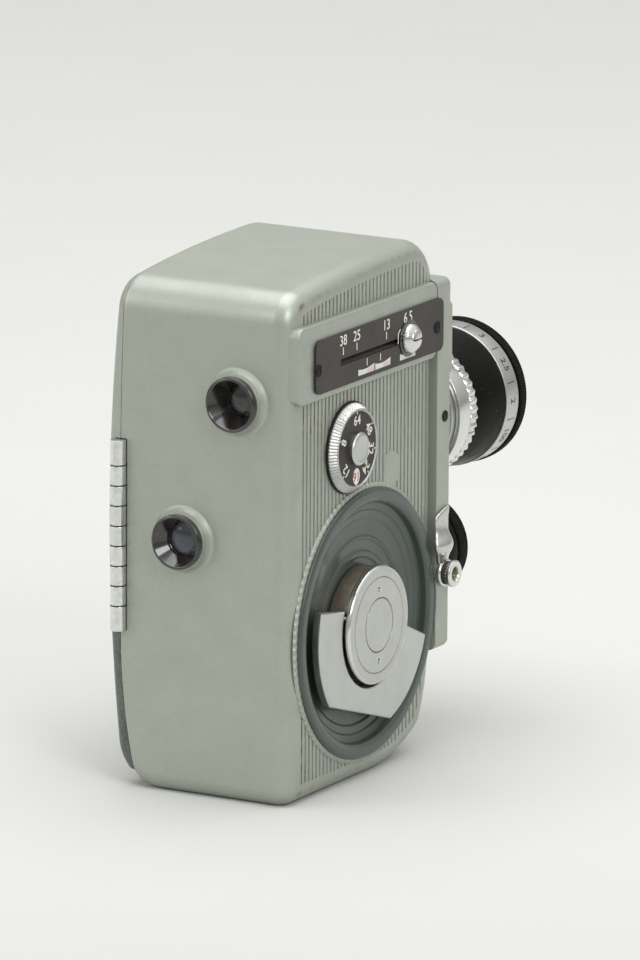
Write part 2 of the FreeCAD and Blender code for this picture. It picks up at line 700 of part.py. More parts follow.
# ---- turret and lenses ------------------------------------------------------------------
def turret_plate():
    y0, y1 = TURRET_Y
    ends = [rod("y", (0, TURRET_Z + s * 15.0), 13.2, (y0, y1)) for s in (-1, 1)]
    shape = fuse(ends + [box((-13.2, 13.2), (y0, y1), (TURRET_Z - 15, TURRET_Z + 15))])
    tools = [rod("y", c, SEAT_R, (30, 50)) for c in (LENS_TOP, LENS_LOW)]
    tools.append(rod("y", (0, TURRET_Z), 2.5 + RUN, (30, 50)))
    return shape.cut(Part.makeCompound(tools))


def turret_pivot_screw():
    profile = (
        (0, 33.3), (1.5, 33.3), (1.5, PLATE_Y), (2.5, PLATE_Y), (2.5, 43.46), (5.0, 43.46),
        (5.0, 44.4), (4.5, 44.9), (0, 44.9),
    )
    screw = turned("y", (0, TURRET_Z), profile)
    return screw.cut(box((-8, 8), (44.3, 50), (TURRET_Z - 0.5, TURRET_Z + 0.5)))


def tele_mount():
    """thread, mount tube and scale collar of the long lens, with the tube its rings run on"""
    profile = (
        (6.0, 40.3), (SEAT_R, 40.3), (SEAT_R, 43.4), (11.4, 43.4), (11.4, 45.6), (12.2, 46.2),
        (12.2, 54.0), (15.4, 57.5), (15.4, 64.2), (14.2, 64.2), (14.2, 84.0), (13.2, 84.0),
        (13.2, 60.0), (10.2, 54.0), (6.0, 48.0),
    )
    return turned("y", LENS_TOP, profile)


def tele_aperture_ring():
    bore = 14.2 + RUN
    profile = ((bore, 64.3), (16.6, 64.3), (16.6, 69.8), (16.9, 70.2), (16.9, 73.0), (bore, 73.0))
    ring = turned("y", LENS_TOP, profile)
    flutes = []
    for i in range(48):
        flutes.append(rod("y", polar(LENS_TOP, 17.25, 360.0 * i / 48), 0.62, (70.2, 74)))
    return ring.cut(Part.makeCompound(flutes))


def tele_outer_barrel():
    profile = ((14.2, 73.1), (16.4, 73.1), (17.6, 85.8), (15.5, 85.8), (15.5, 90.0), (14.2, 90.0))
    return turned("y", LENS_TOP, profile)


def tele_focus_ring():
    bore = 15.5 + RUN
    profile = (
        (bore, 85.9), (17.8, 85.9), (17.9, 91.9), (17.3, 92.0), (17.3, 92.5), (18.1, 92.5),
        (18.3, 92.9), (18.3, 95.1), (18.0, 95.5), (17.2, 95.5), (14.6, 93.6), (14.6, 90.1),
        (bore, 90.1),
    )
    return turned("y", LENS_TOP, profile)


def standard_mount():
    profile = (
        (6.0, 40.3), (SEAT_R, 40.3), (SEAT_R, 43.4), (9.8, 43.4), (9.8, 58.0), (11.2, 59.9),
        (9.0, 59.9), (9.0, 72.0), (7.6, 72.0), (7.6, 56.0), (6.0, 50.0),
    )
    return turned("y", LENS_LOW, profile)


def standard_aperture_ring():
    bore = 9.0 + RUN
    profile = ((bore, 60.0), (11.6, 60.0), (11.9, 60.4), (11.9, 66.3), (bore, 66.3))
    ring = turned("y", LENS_LOW, profile)
    flutes = [rod("y", polar(LENS_LOW, 12.3, 360.0 * i / 36), 0.66, (61.2, 67)) for i in range(36)]
    return ring.cut(Part.makeCompound(flutes))


def standard_focus_ring():
    bore = 9.0 + RUN
    profile = (
        (bore, 66.4), (11.9, 66.4), (12.0, 67.4), (11.8, 67.5), (12.2, 67.9), (12.3, 71.8),
        (11.8, 71.9), (11.8, 72.3), (12.4, 72.4), (12.5, 72.8), (12.5, 76.2), (12.2, 76.6),
        (11.5, 76.6), (8.4, 73.4), (8.4, 72.05), (bore, 72.05),
    )
    return turned("y", LENS_LOW, profile)


# ---- film chamber ------------------------------------------------------------------------
def mechanism_plate():
    slab = form(WALL + 0.1).common(box(DECK_X, (-60, 29.2), (0, 140)))
    tools = [
        rod("x", KEY, 2.0 + RUN, (0, 10)),
        rod("x", DRIVE, ARBOR_R + RUN, (0, 10)),
        rod("x", GOVERNOR, ARBOR_R + RUN, (0, 10)),
        rod("x", SUPPLY, 2.0 + RUN, (0, 10)),
        rod("x", TAKEUP, 2.0 + RUN, (0, 10)),
    ]
    tools.append(rod("z", (0, 0), 8.1, (0, 6.4)))
    tools.append(rod("y", FINDER, EYE_SEAT_R + 0.1, (-36, -32.8)))
    for centre in DECK_POSTS:
        tools.append(rod("x", centre, 1.0, (0, 10)))
    for centre in PILLARS:
        tools.append(rod("x", centre, 0.8, (0, 10)))
    return slab.cut(Part.makeCompound(tools))


def plate_screws():
    screws = []
    for centre in DECK_POSTS:
        screw = slotted_screw("x", centre, 1.9, 1.0, -(DECK_X[1] + 7), -DECK_X[0], -DECK_X[0] + 0.5, 0.35)
        screws.append(screw.mirror(Vector(0, 0, 0), Vector(1, 0, 0)))
    return Part.makeCompound(screws)


def train_bridge():
    """outer bearing plate of the gear train on two pillars"""
    corners = [Vector(15.3, y, z) for y, z in (PILLARS[0], GOVERNOR, PILLARS[1], DRIVE)]
    web = prism(corners, Vector(1.0, 0, 0))
    bosses = [rod("x", c, 2.6, (15.3, 16.3)) for c in (DRIVE, GOVERNOR) + PILLARS]
    legs = [rod("x", c, 1.5, (DECK_X[1], 15.3)) for c in PILLARS]
    pins = [rod("x", c, 0.8, (DECK_X[0], DECK_X[1])) for c in PILLARS]
    holes = [rod("x", c, ARBOR_R + RUN, (15, 17)) for c in (DRIVE, GOVERNOR)]
    return fuse([web] + bosses + legs + pins).cut(Part.makeCompound(holes))


def gate_plate():
    shape = plate((-13.0, 14.4), (29.65, 30.6), (58.0, 92.5), "y", 1.0)
    rails = [box((x, x + 0.6), (FILM_Y, 29.65), (64, 88)) for x in (-12.6, 3.95)]
    tools = [
        box((-2.45, 2.45), (29, 31), (LENS_TOP[1] - 1.85, LENS_TOP[1] + 1.85)),
        box((2.6, 3.9), (29, 31), (61.5, 68.5)),
        rod("y", (SHUTTER_X, GOVERNOR[1]), 0.9 + RUN, (29, 31)),
    ]
    return fuse([shape] + rails).cut(Part.makeCompound(tools))


def pressure_plate():
    shape = plate((-12.0, 3.8), (27.6, 29.2), (66.0, 85.0), "y", 1.0)
    tools = [
        box((-2.2, 2.2), (27, 30), (LENS_TOP[1] - 1.7, LENS_TOP[1] + 1.7)),
        box((2.4, 3.9), (27, 30), (65, 69)),
    ]
    return shape.cut(Part.makeCompound(tools))


def film_guide_posts():
    posts = []
    profile = (
        (0, DECK_X[0]), (2.2, DECK_X[0]), (2.2, 4.6), (1.5, 4.4), (1.5, -12.4), (2.2, -12.6),
        (2.2, -13.4), (0, -13.4),
    )
    for centre in ((26.5, 92.5), (26.0, 57.0)):
        posts.append(turned("x", centre, profile))
    return Part.makeCompound(posts)


def claw():
    y = (30.85, 31.4)
    bar = plate((2.9, 13.0), y, (64.9, 66.9), "y", 0.4)
    head = plate((5.6, 13.0), y, (64.9, 81.0), "y", 0.4)
    slot = box((7.9, 10.5), (30, 32), (69.5, 79.6))
    tip = box((2.95, 3.65), (28.9, y[1]), (65.3, 66.1))
    return fuse([bar, head, tip]).cut(slot)


def spindle(centre, end):
    """spool spindle; a thin collar from 6.65 to end holds it in the mechanism plate"""
    profile = (
        (0, -14.6), (2.6, -14.6), (SPINDLE_R, -13.4), (SPINDLE_R, 5.4), (2.0, 5.4), (2.0, 6.65),
        (3.2, 6.65), (3.2, end), (0, end),
    )
    return turned("x", centre, profile)


def takeup_spindle():
    phase = mesh_phase(takeup_direction(), TAKEUP_TEETH)
    pinion = gear("x", TAKEUP, (7.0, 8.2), FINE_MODULE, TAKEUP_TEETH, phase, 0)
    return fuse([spindle(TAKEUP, 8.0), pinion])


def spool(centre):
    a, b = SPOOL_X
    profile = (
        (SPINDLE_R, a), (SPOOL_R, a), (SPOOL_R, a + 0.8), (11.0, a + 0.8), (11.0, b - 0.8),
        (SPOOL_R, b - 0.8), (SPOOL_R, b), (SPINDLE_R, b),
    )
    windows = [rod("x", polar(centre, 18.4, 30 + 120 * i), 4.4, (a - 1, b + 1)) for i in range(3)]
    return turned("x", centre, profile).cut(Part.makeCompound(windows))


# ---- clockwork ---------------------------------------------------------------------------
def takeup_direction():
    return math.degrees(math.atan2(TAKEUP[1] - KEY[1], TAKEUP[0] - KEY[0]))


def spring_barrel():
    bore = 3.0 + RUN
    profile = (
        (bore, 10.2), (22.5, 10.2), (22.5, 20.8), (bore, 20.8), (bore, 19.8), (21.5, 19.8),
        (21.5, 11.2), (bore, 11.2),
    )
    drum = turned("x", KEY, profile)
    wheel = gear("x", KEY, (8.8, 10.2), WHEEL_MODULE, GREAT_TEETH, DRIVE_ANGLE, bore)
    neck = tube("x", KEY, 4.6, bore, (8.2, 8.8))
    hub = gear("x", KEY, (7.1, 8.2), FINE_MODULE, HUB_GEAR_TEETH, takeup_direction(), bore)
    return fuse([drum, wheel, neck, hub])


def mainspring():
    """wound strip between the arbor and the drum"""
    turns, start, end, thick = 11, 3.6, 21.0, 0.4
    steps = turns * 10

    def strip(offset):
        points = []
        for i in range(steps + 1):
            r = start + (end - start) * i / steps + offset
            y, z = polar(KEY, r, 36.0 * i)
            points.append(Vector(11.7, y, z))
        curve = Part.BSplineCurve()
        curve.interpolate(points)
        return curve.toShape(), points[0], points[-1]

    inner, inner_a, inner_b = strip(0)
    outer, outer_a, outer_b = strip(thick)
    wire = Part.Wire([inner, Part.makeLine(inner_b, outer_b), outer, Part.makeLine(outer_a, inner_a)])
    return Part.Face(wire).extrude(Vector(7.6, 0, 0))


def drive_arbor():
    shaft = rod("x", DRIVE, ARBOR_R, (5.7, 16.2))
    phase = mesh_phase(DRIVE_ANGLE, PINION_TEETH)
    pinion = gear("x", DRIVE, (8.7, 10.3), WHEEL_MODULE, PINION_TEETH, phase, 0)
    wheel = gear("x", DRIVE, (13.5, 14.5), SMALL_MODULE, WHEEL_TEETH, GOVERNOR_ANGLE, 0)
    return fuse([shaft, pinion, wheel])


def governor_arbor():
    shaft = rod("x", GOVERNOR, ARBOR_R, (5.7, 22.4))
    phase = mesh_phase(GOVERNOR_ANGLE, GOVERNOR_TEETH)
    pinion = gear("x", GOVERNOR, (13.4, 14.7), SMALL_MODULE, GOVERNOR_TEETH, phase, 0)
    disc = rod("x", GOVERNOR, 6.4, (11.6, 12.6))
    profile = (
        (0, 17.2), (2.0, 17.2), (2.0, 18.0), (6.6, 18.0), (6.6, 21.0), (2.0, 21.0), (2.0, 21.8),
        (0, 21.8),
    )
    weights = turned("x", GOVERNOR, profile)
    y, z = GOVERNOR
    gap = box((17.9, 21.1), (y - 9, y + 9), (z - 0.5, z + 0.5))
    weights = weights.cut(gap).fuse(rod("x", GOVERNOR, 2.0, (17.2, 21.8)))
    crown = []
    pitch_r = SMALL_MODULE * CONTRATE_TEETH / 2
    for i in range(CONTRATE_TEETH):
        tooth = contrate_tooth(pitch_r)
        tooth.rotate(Vector(0, GOVERNOR[0], GOVERNOR[1]), Vector(1, 0, 0), 360.0 * i / CONTRATE_TEETH)
        crown.append(tooth)
    return fuse([shaft, pinion, disc, weights] + crown)


def contrate_tooth(pitch_r):
    """one tooth of the contrate wheel, on its forward side, standing towards -X"""
    y0, y1 = GOVERNOR[0] + pitch_r - 0.5, GOVERNOR[0] + pitch_r + 0.35
    z = GOVERNOR[1]
    section = ((11.65, -0.34), (11.65, 0.34), (10.95, 0.15), (10.95, -0.15))
    return prism([Vector(x, y0, z + w) for x, w in section], Vector(0, y1 - y0, 0))


def shutter():
    """sector disc on its shaft, with the pinion that meshes with the contrate wheel"""
    axis = (SHUTTER_X, GOVERNOR[1])
    middle = GOVERNOR[0] + SMALL_MODULE * CONTRATE_TEETH / 2
    shaft = rod("y", axis, 0.9, (middle - 1.3, 34.2))
    phase = 180.0 / SHUTTER_TEETH
    pinion = gear("y", axis, (middle - 0.9, middle + 0.9), SMALL_MODULE, SHUTTER_TEETH, phase, 0)
    disc = rod("y", axis, SHUTTER_R, (32.0, 32.3))
    corners = [axis] + [polar(axis, 30, a) for a in (100, 140, 180, 220, 250)]
    opening = prism([Vector(x, 31, z) for x, z in corners], Vector(0, 3, 0))
    hub = rod("y", axis, 2.2, (31.6, 32.6))
    return fuse([shaft, pinion, disc.cut(opening), hub])


# ---- write every piece --------------------------------------------------------------------
os.makedirs("parts", exist_ok=True)

save("body_shell", body_shell())
save("front_plate", front_plate())
save("finder_window_block", finder_window_block())
save("finder_front_lens", finder_front_lens())
save("scale_plate", scale_plate())
save("scale_plate_screws", scale_plate_screws())
save("wind_dish", wind_dish())
save("finder_eyepiece", eyepiece(FINDER, 2.7, -35.6))
save("finder_eyepiece_lens", lens("y", FINDER, 2.7, (-35.2, -33.4), 0.3))
save("focus_eyepiece", eyepiece(FOCUS, 3.2, -36.9))
save("focus_eyepiece_lens", lens("y", FOCUS, 3.2, (-36.8, -34.6), 0.4))
save("focus_tube", focus_tube())
save("hinge_body_leaf", hinge_leaf(0, PIN_R, (-20.1, -19.5)))
save("hinge_door_leaf", hinge_leaf(1, PIN_R + RUN, (-21.1, -20.5)))
save("hinge_pin", rod("z", HINGE, PIN_R, HINGE_Z))
save("tripod_bush", tripod_bush())
save("release_socket", release_socket())
save("release_lever", release_lever())
save("front_plate_screw", front_plate_screw())
save("door_shell", door_shell())
save("door_panel", door_panel())
save("latch_knob", latch_knob())
save("spool_springs", spool_springs())
save("wind_hub", wind_hub())
save("hub_cap", hub_cap())
save("handle_pivot_pins", pivot_pins_shape(PIVOT_PIN_R))
save("wind_handle", wind_handle())
save("speed_dial", speed_dial())
save("speed_dial_knob", speed_dial_knob())
save("zoom_knob", zoom_knob())
save("zoom_carriage", zoom_carriage())
save("zoom_lens", lens("y", FINDER, 4.2, (ZOOM_Y - 1.2, ZOOM_Y + 1.2), 0.5))
save("finder_rail", rod("y", (FINDER[0], SLOT_Z), 1.0, (-35.0, 34.0)))
save("turret_plate", turret_plate())
save("turret_pivot_screw", turret_pivot_screw())
save("tele_mount", tele_mount())
save("tele_aperture_ring", tele_aperture_ring())
save("tele_outer_barrel", tele_outer_barrel())
save("tele_focus_ring", tele_focus_ring())
save("tele_front_lens", lens("y", LENS_TOP, 14.6, (90.2, 94.4), 1.2))
save("standard_mount", standard_mount())
save("standard_aperture_ring", standard_aperture_ring())
save("standard_focus_ring", standard_focus_ring())
save("standard_front_lens", lens("y", LENS_LOW, 8.4, (72.1, 74.6), 0.7))
save("mechanism_plate", mechanism_plate())
save("plate_screws", plate_screws())
save("train_bridge", train_bridge())
save("gate_plate", gate_plate())
save("pressure_plate", pressure_plate())
save("film_guide_posts", film_guide_posts())
save("claw", claw())
save("supply_spindle", spindle(SUPPLY, 7.15))
save("supply_spool", spool(SUPPLY))
save("takeup_spindle", takeup_spindle())
save("takeup_spool", spool(TAKEUP))
save("spring_barrel", spring_barrel())
save("mainspring", mainspring())
save("drive_arbor", drive_arbor())
save("governor_arbor", governor_arbor())
save("shutter", shutter())
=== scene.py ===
import math

import bmesh
import bpy
from mathutils import Matrix, Vector


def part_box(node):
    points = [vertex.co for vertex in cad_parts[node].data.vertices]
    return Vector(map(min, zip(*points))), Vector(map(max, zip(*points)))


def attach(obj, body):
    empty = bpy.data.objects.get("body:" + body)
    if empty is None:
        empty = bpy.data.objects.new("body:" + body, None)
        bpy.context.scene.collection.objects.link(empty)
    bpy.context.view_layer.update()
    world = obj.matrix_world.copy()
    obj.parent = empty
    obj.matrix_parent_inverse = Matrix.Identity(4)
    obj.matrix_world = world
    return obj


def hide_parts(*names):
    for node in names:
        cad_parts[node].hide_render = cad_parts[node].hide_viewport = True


# Looks of a spring-wound cine camera, built round its CAD frame. Lengths in this script are
# millimetres in the frame's axes (+X camera's right, +Y forward, +Z up) and become metres
# when a vertex is made. Places come from the CAD nodes' boxes.

MM = 0.001
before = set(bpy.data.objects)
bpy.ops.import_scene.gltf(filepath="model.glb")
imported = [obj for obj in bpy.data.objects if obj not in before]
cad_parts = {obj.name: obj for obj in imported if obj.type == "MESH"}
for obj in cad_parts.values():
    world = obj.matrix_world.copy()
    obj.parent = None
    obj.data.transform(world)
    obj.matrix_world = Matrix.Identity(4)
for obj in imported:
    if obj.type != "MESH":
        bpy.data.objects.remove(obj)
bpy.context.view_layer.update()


# ---- frame measures -------------------------------------------------------------------
def span(node):
    """lowest and highest corner of a CAD node in mm"""
    low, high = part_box(node)
    return Vector(low) / MM, Vector(high) / MM


class Round:
    """a turned CAD node: its axis, centre, radius and the two ends along the axis, in mm"""

    PLANES = {
        "x": (Vector((0, 1, 0)), Vector((0, 0, 1)), Vector((1, 0, 0))),
        "y": (Vector((1, 0, 0)), Vector((0, 0, 1)), Vector((0, 1, 0))),
        "z": (Vector((1, 0, 0)), Vector((0, 1, 0)), Vector((0, 0, 1))),
    }

    def __init__(self, node, axis, centre=None):
        low, high = span(node)
        self.u, self.v, self.w = self.PLANES[axis]
        self.centre = centre.copy() if centre else (low + high) / 2
        self.centre -= self.w * self.centre.dot(self.w)
        self.low, self.high = low.dot(self.w), high.dot(self.w)
        self.r = (high - low).dot(self.u) / 2

    def at(self, r, angle, s):
        """a point in metres; angle runs from the first plane axis to the second"""
        a = math.radians(angle)
        return (self.centre + self.u * r * math.cos(a) + self.v * r * math.sin(a) + self.w * s) * MM


# ---- mesh helpers ---------------------------------------------------------------------
def finish_mesh(bm, name, material, body, crease=32):
    """turn a bmesh into an object with smooth faces and sharp corners that rides on a body"""
    bmesh.ops.remove_doubles(bm, verts=bm.verts, dist=1e-7)
    bmesh.ops.recalc_face_normals(bm, faces=bm.faces)
    for face in bm.faces:
        face.smooth = True
    for edge in bm.edges:
        edge.smooth = edge.calc_face_angle(0) < math.radians(crease)
    mesh = bpy.data.meshes.new(name)
    bm.to_mesh(mesh)
    bm.free()
    mesh.materials.append(material)
    piece = bpy.data.objects.new(name, mesh)
    bpy.context.collection.objects.link(piece)
    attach(piece, body)
    return piece


def soft(profile, radius=0.15):
    """the closed profile with every corner replaced by a small arc"""
    points = [Vector(p) for p in profile]
    out = []
    for i, corner in enumerate(points):
        before, after = points[i - 1] - corner, points[(i + 1) % len(points)] - corner
        if corner.x < 1e-6 or min(before.length, after.length) < 1e-6:
            out.append(corner)
            continue
        a = corner + before.normalized() * min(radius, 0.4 * before.length)
        b = corner + after.normalized() * min(radius, 0.4 * after.length)
        out += [a, (a + b + 2 * corner) / 4, b]
    return [(p.x, p.y) for p in out]


def lathe(name, part, profile, material, body, steps=160, ripple=None, crease=32):
    """a closed (radius, place) profile turned about a part's axis; ripple(angle, r, s) pulls
    the surface in, for knurls and flutes"""
    bm = bmesh.new()
    lay = bm.verts.layers.float.new("lay")
    rings = []
    for j in range(steps):
        angle = 360.0 * j / steps
        ring = []
        length = 0.0
        last = profile[0]
        for r, s in profile:
            length += math.hypot(r - last[0], s - last[1])
            last = (r, s)
            pull = ripple(angle, r, s) if ripple else 0.0
            vert = bm.verts.new(part.at(max(r - pull, 0.0), angle, s))
            vert[lay] = length
            ring.append(vert)
        rings.append(ring)
    count = len(profile)
    for j in range(steps):
        one, two = rings[j], rings[(j + 1) % steps]
        for i in range(count):
            k = (i + 1) % count
            if profile[i][0] > 1e-6 or profile[k][0] > 1e-6:
                bm.faces.new((one[i], one[k], two[k], two[i]))
    return finish_mesh(bm, name, material, body, crease)


def knurl(teeth, depth, low, high, sharp=1.0):
    """a ripple of evenly spaced grooves between two places along the axis"""
    def pull(angle, r, s):
        if not low <= s <= high:
            return 0.0
        wave = 0.5 + 0.5 * math.cos(math.radians(angle * teeth))
        return depth * wave ** sharp
    return pull


def sheet(name, outlines, thickness, mapping, material, body, crease=32):
    """flat outlines in (u, v), thickened, each point placed by mapping(u, v, height)"""
    bm = bmesh.new()
    for outline in outlines:
        top = [bm.verts.new(mapping(u, v, thickness)) for u, v in outline]
        low = [bm.verts.new(mapping(u, v, 0.0)) for u, v in outline]
        bm.faces.new(top)
        bm.faces.new(low[::-1])
        for i in range(len(outline)):
            k = (i + 1) % len(outline)
            bm.faces.new((top[i], low[i], low[k], top[k]))
    return finish_mesh(bm, name, material, body, crease)


def glyphs(name, text, height, thickness, mapping, material, body, weight=0.0):
    """characters centred on (0, 0) and placed by mapping(u, v, height)"""
    curve = bpy.data.curves.new(name, "FONT")
    curve.body = text
    curve.size = height / 0.7
    curve.offset = weight
    curve.align_x = "CENTER"
    curve.align_y = "CENTER"
    curve.resolution_u = 3
    source = bpy.data.objects.new(name + "_text", curve)
    bpy.context.collection.objects.link(source)
    bpy.context.view_layer.update()
    flat = source.to_mesh()
    bm = bmesh.new()
    bm.from_mesh(flat)
    source.to_mesh_clear()
    bpy.data.objects.remove(source)
    bmesh.ops.remove_doubles(bm, verts=bm.verts, dist=1e-5)
    bottom = bm.faces[:]
    raised = bmesh.ops.extrude_face_region(bm, geom=bottom)["geom"]
    tops = {v for v in raised if isinstance(v, bmesh.types.BMVert)}
    for vert in bm.verts:
        vert.co = mapping(vert.co.x, vert.co.y, thickness if vert in tops else 0.0)
    return finish_mesh(bm, name, material, body, 32)


def right_side(y, z, x):
    """mapping onto a plane that faces +X: u runs forward, v runs up"""
    return lambda u, v, h: Vector((x + h, y + u, z + v)) * MM


def around_x(part, radius, angle, x):
    """mapping onto a face that looks along +X, with the characters' tops outward; the angle
    runs clockwise from the top as seen from the camera's right"""
    a = math.radians(angle)
    out = Vector((0, math.sin(a), math.cos(a)))
    across = Vector((0, math.cos(a), -math.sin(a)))
    centre = part.centre + out * radius

    def mapping(u, v, h):
        return (centre + across * u + out * v + Vector((x + h, 0, 0))) * MM
    return mapping


def on_barrel(part, radius, angle, s):
    """mapping onto a barrel along Y, read from behind: u runs round it, v runs forward"""
    def mapping(u, v, h):
        return part.at(radius + h, angle - math.degrees(u / radius), s + v)
    return mapping


def bar(width, height):
    u, v = width / 2, height / 2
    return [(-u, -v), (u, -v), (u, v), (-u, v)]


# ---- materials ------------------------------------------------------------------------
class Recipe:
    """a node material under construction; sizes of features are in mm"""

    def __init__(self, name):
        self.material = bpy.data.materials.new(name)
        self.material.use_nodes = True
        self.tree = self.material.node_tree
        self.bsdf = self.tree.nodes["Principled BSDF"]
        self.where = self.add("ShaderNodeTexCoord").outputs["Object"]

    def feed(self, socket, value):
        if isinstance(value, bpy.types.NodeSocket):
            self.tree.links.new(value, socket)
        else:
            socket.default_value = value

    def add(self, kind, settings=None, **inputs):
        node = self.tree.nodes.new(kind)
        for key, value in (settings or {}).items():
            setattr(node, key, value)
        for key, value in inputs.items():
            self.feed(node.inputs[key.replace("_", " ")], value)
        return node

    def calc(self, operation, a, b=0.0):
        node = self.add("ShaderNodeMath", {"operation": operation})
        self.feed(node.inputs[0], a)
        self.feed(node.inputs[1], b)
        return node.outputs[0]

    def noise(self, size, detail=2.0, stretch=None, roughness=0.5):
        where = self.where
        if stretch:
            where = self.add("ShaderNodeMapping", None, Vector=where, Scale=stretch).outputs[0]
        node = self.add("ShaderNodeTexNoise", None, Vector=where, Scale=1 / (size * MM), Detail=detail,
                        Roughness=roughness)
        return node.outputs[0]

    def rings(self, size):
        """noise along a turned piece's profile, the trace of the turning tool"""
        lay = self.add("ShaderNodeAttribute", {"attribute_name": "lay"}).outputs["Fac"]
        along = {"noise_dimensions": "1D"}
        node = self.add("ShaderNodeTexNoise", along, W=lay, Scale=1 / size, Detail=2.0)
        return node.outputs[0]

    def span(self, value, low, high, start=0.0, end=1.0):
        """value mapped from low..high onto start..end and held there"""
        node = self.add("ShaderNodeMapRange", None, Value=value, From_Min=low, From_Max=high,
                        To_Min=start, To_Max=end)
        return node.outputs[0]

    def mix(self, factor, a, b):
        node = self.add("ShaderNodeMix", {"data_type": "RGBA"})
        self.feed(node.inputs[0], factor)
        self.feed(node.inputs[6], a)
        self.feed(node.inputs[7], b)
        return node.outputs[2]

    def axes(self):
        """the place on the piece as three sockets, in metres"""
        return self.add("ShaderNodeSeparateXYZ", None, Vector=self.where).outputs

    def between(self, value, low, high, blur=0.3):
        """1 where value lies between low and high mm, with soft ends"""
        up = self.span(value, (low - blur) * MM, (low + blur) * MM)
        down = self.span(value, (high + blur) * MM, (high - blur) * MM)
        return self.calc("MULTIPLY", up, down)

    def edge(self, radius):
        """rounded normal near corners, and how near a corner is"""
        bevel = self.add("ShaderNodeBevel", {"samples": 4}, Radius=radius * MM).outputs[0]
        flat = self.add("ShaderNodeNewGeometry").outputs["Normal"]
        dot = self.add("ShaderNodeVectorMath", {"operation": "DOT_PRODUCT"})
        self.feed(dot.inputs[0], bevel)
        self.feed(dot.inputs[1], flat)
        return bevel, self.span(dot.outputs["Value"], 0.995, 0.8)

    def done(self, colour, metallic, rough, bumps=(), normal=None, **more):
        """bumps are (height socket, depth in mm) pairs laid over each other"""
        for height, depth in bumps:
            bump = self.add("ShaderNodeBump", None, Height=height, Strength=1.0, Distance=depth * MM)
            if normal:
                self.feed(bump.inputs["Normal"], normal)
            normal = bump.outputs[0]
        self.feed(self.bsdf.inputs["Base Color"], colour)
        self.feed(self.bsdf.inputs["Metallic"], metallic)
        self.feed(self.bsdf.inputs["Roughness"], rough)
        if normal:
            self.feed(self.bsdf.inputs["Normal"], normal)
        for key, value in more.items():
            self.feed(self.bsdf.inputs[key.replace("_", " ")], value)
        return self.material


def rgb(red, green, blue):
    """a colour given in 0..255 screen values, as a linear colour"""
    def linear(c):
        c /= 255
        return c / 12.92 if c <= 0.04045 else ((c + 0.055) / 1.055) ** 2.4
    return (linear(red), linear(green), linear(blue), 1.0)


def scaled(colour, factor):
    return [c * factor for c in colour[:3]] + [1.0]


def inside_mask(m):
    """1 on the faces of the film and mechanism chambers: those deep inside, and those near the
    walls that look inwards"""
    plate_low = span("mechanism_plate")[0]
    x, y, z = m.axes()
    rear = plate_low.y - 0.05

    def within(wide, deep, tall):
        area = m.calc("MULTIPLY", m.between(x, *wide, 0.02), m.between(y, *deep, 0.02))
        return m.calc("MULTIPLY", area, m.between(z, *tall, 0.02))
    heart = within((-19.0, 24.1), (rear, 33.25), (29.0, 119.0))
    near = within((-23.4, 24.1), (rear, 33.25), (1.85, 125.75))
    normal = m.add("ShaderNodeNewGeometry").outputs["True Normal"]
    turn = {"vector_type": "NORMAL", "convert_from": "WORLD", "convert_to": "OBJECT"}
    facing = m.add("ShaderNodeVectorTransform", turn, Vector=normal).outputs[0]
    centre = (0.0, 0.0, 63 * MM)
    out = m.add("ShaderNodeVectorMath", {"operation": "SUBTRACT"})
    m.feed(out.inputs[0], m.where)
    m.feed(out.inputs[1], centre)
    dot = m.add("ShaderNodeVectorMath", {"operation": "DOT_PRODUCT"})
    m.feed(dot.inputs[0], facing)
    m.feed(dot.inputs[1], out.outputs[0])
    inward = m.calc("LESS_THAN", dot.outputs["Value"], 0.0)
    return m.calc("MAXIMUM", heart, m.calc("MULTIPLY", near, inward))


def paint(name, colour, dark=None, split=None, stains=False, interior=False, metallic=0.55, rough=0.4):
    """satin metallic paint with fine flakes, faint mottling and worn, lighter corners"""
    m = Recipe(name)
    bevel, worn = m.edge(0.35)
    flakes = m.noise(0.09, 1.0)
    mottle = m.noise(9.0, 4.0)
    peel = m.noise(0.9, 3.0)
    base = m.mix(m.span(flakes, 0.3, 0.7), scaled(colour, 0.86), scaled(colour, 1.1))
    if split:
        z = m.axes()[2]
        lower = m.span(z, (split + 0.15) * MM, (split - 0.15) * MM)
        base = m.mix(lower, base, dark)
    base = m.mix(m.span(m.noise(0.7, 4.0, None, 0.6), 0.35, 0.7, 0.0, 0.3), base, scaled(colour, 0.75))
    base = m.mix(m.span(mottle, 0.35, 0.75, 0.0, 0.22), base, scaled(colour, 0.72))
    if stains:
        base = m.mix(stain_mask(m), base, rgb(120, 82, 40))
    scuffs = m.calc("MULTIPLY", worn, m.span(m.noise(2.2, 4.0), 0.5, 0.7, 0.0, 0.45))
    base = m.mix(scuffs, base, rgb(205, 203, 194))
    gloss = m.span(mottle, 0.3, 0.7, rough - 0.05, rough + 0.07)
    metal = metallic
    if interior:
        hidden = inside_mask(m)
        base = m.mix(hidden, base, rgb(26, 26, 25))
        gloss = m.calc("ADD", gloss, m.calc("MULTIPLY", hidden, 0.35))
        metal = m.span(hidden, 0.0, 1.0, metallic, 0.0)
    bumps = [(peel, 0.012), (flakes, 0.004)]
    return m.done(base, metal, gloss, bumps, bevel, Coat_Weight=0.12, Coat_Roughness=0.25)


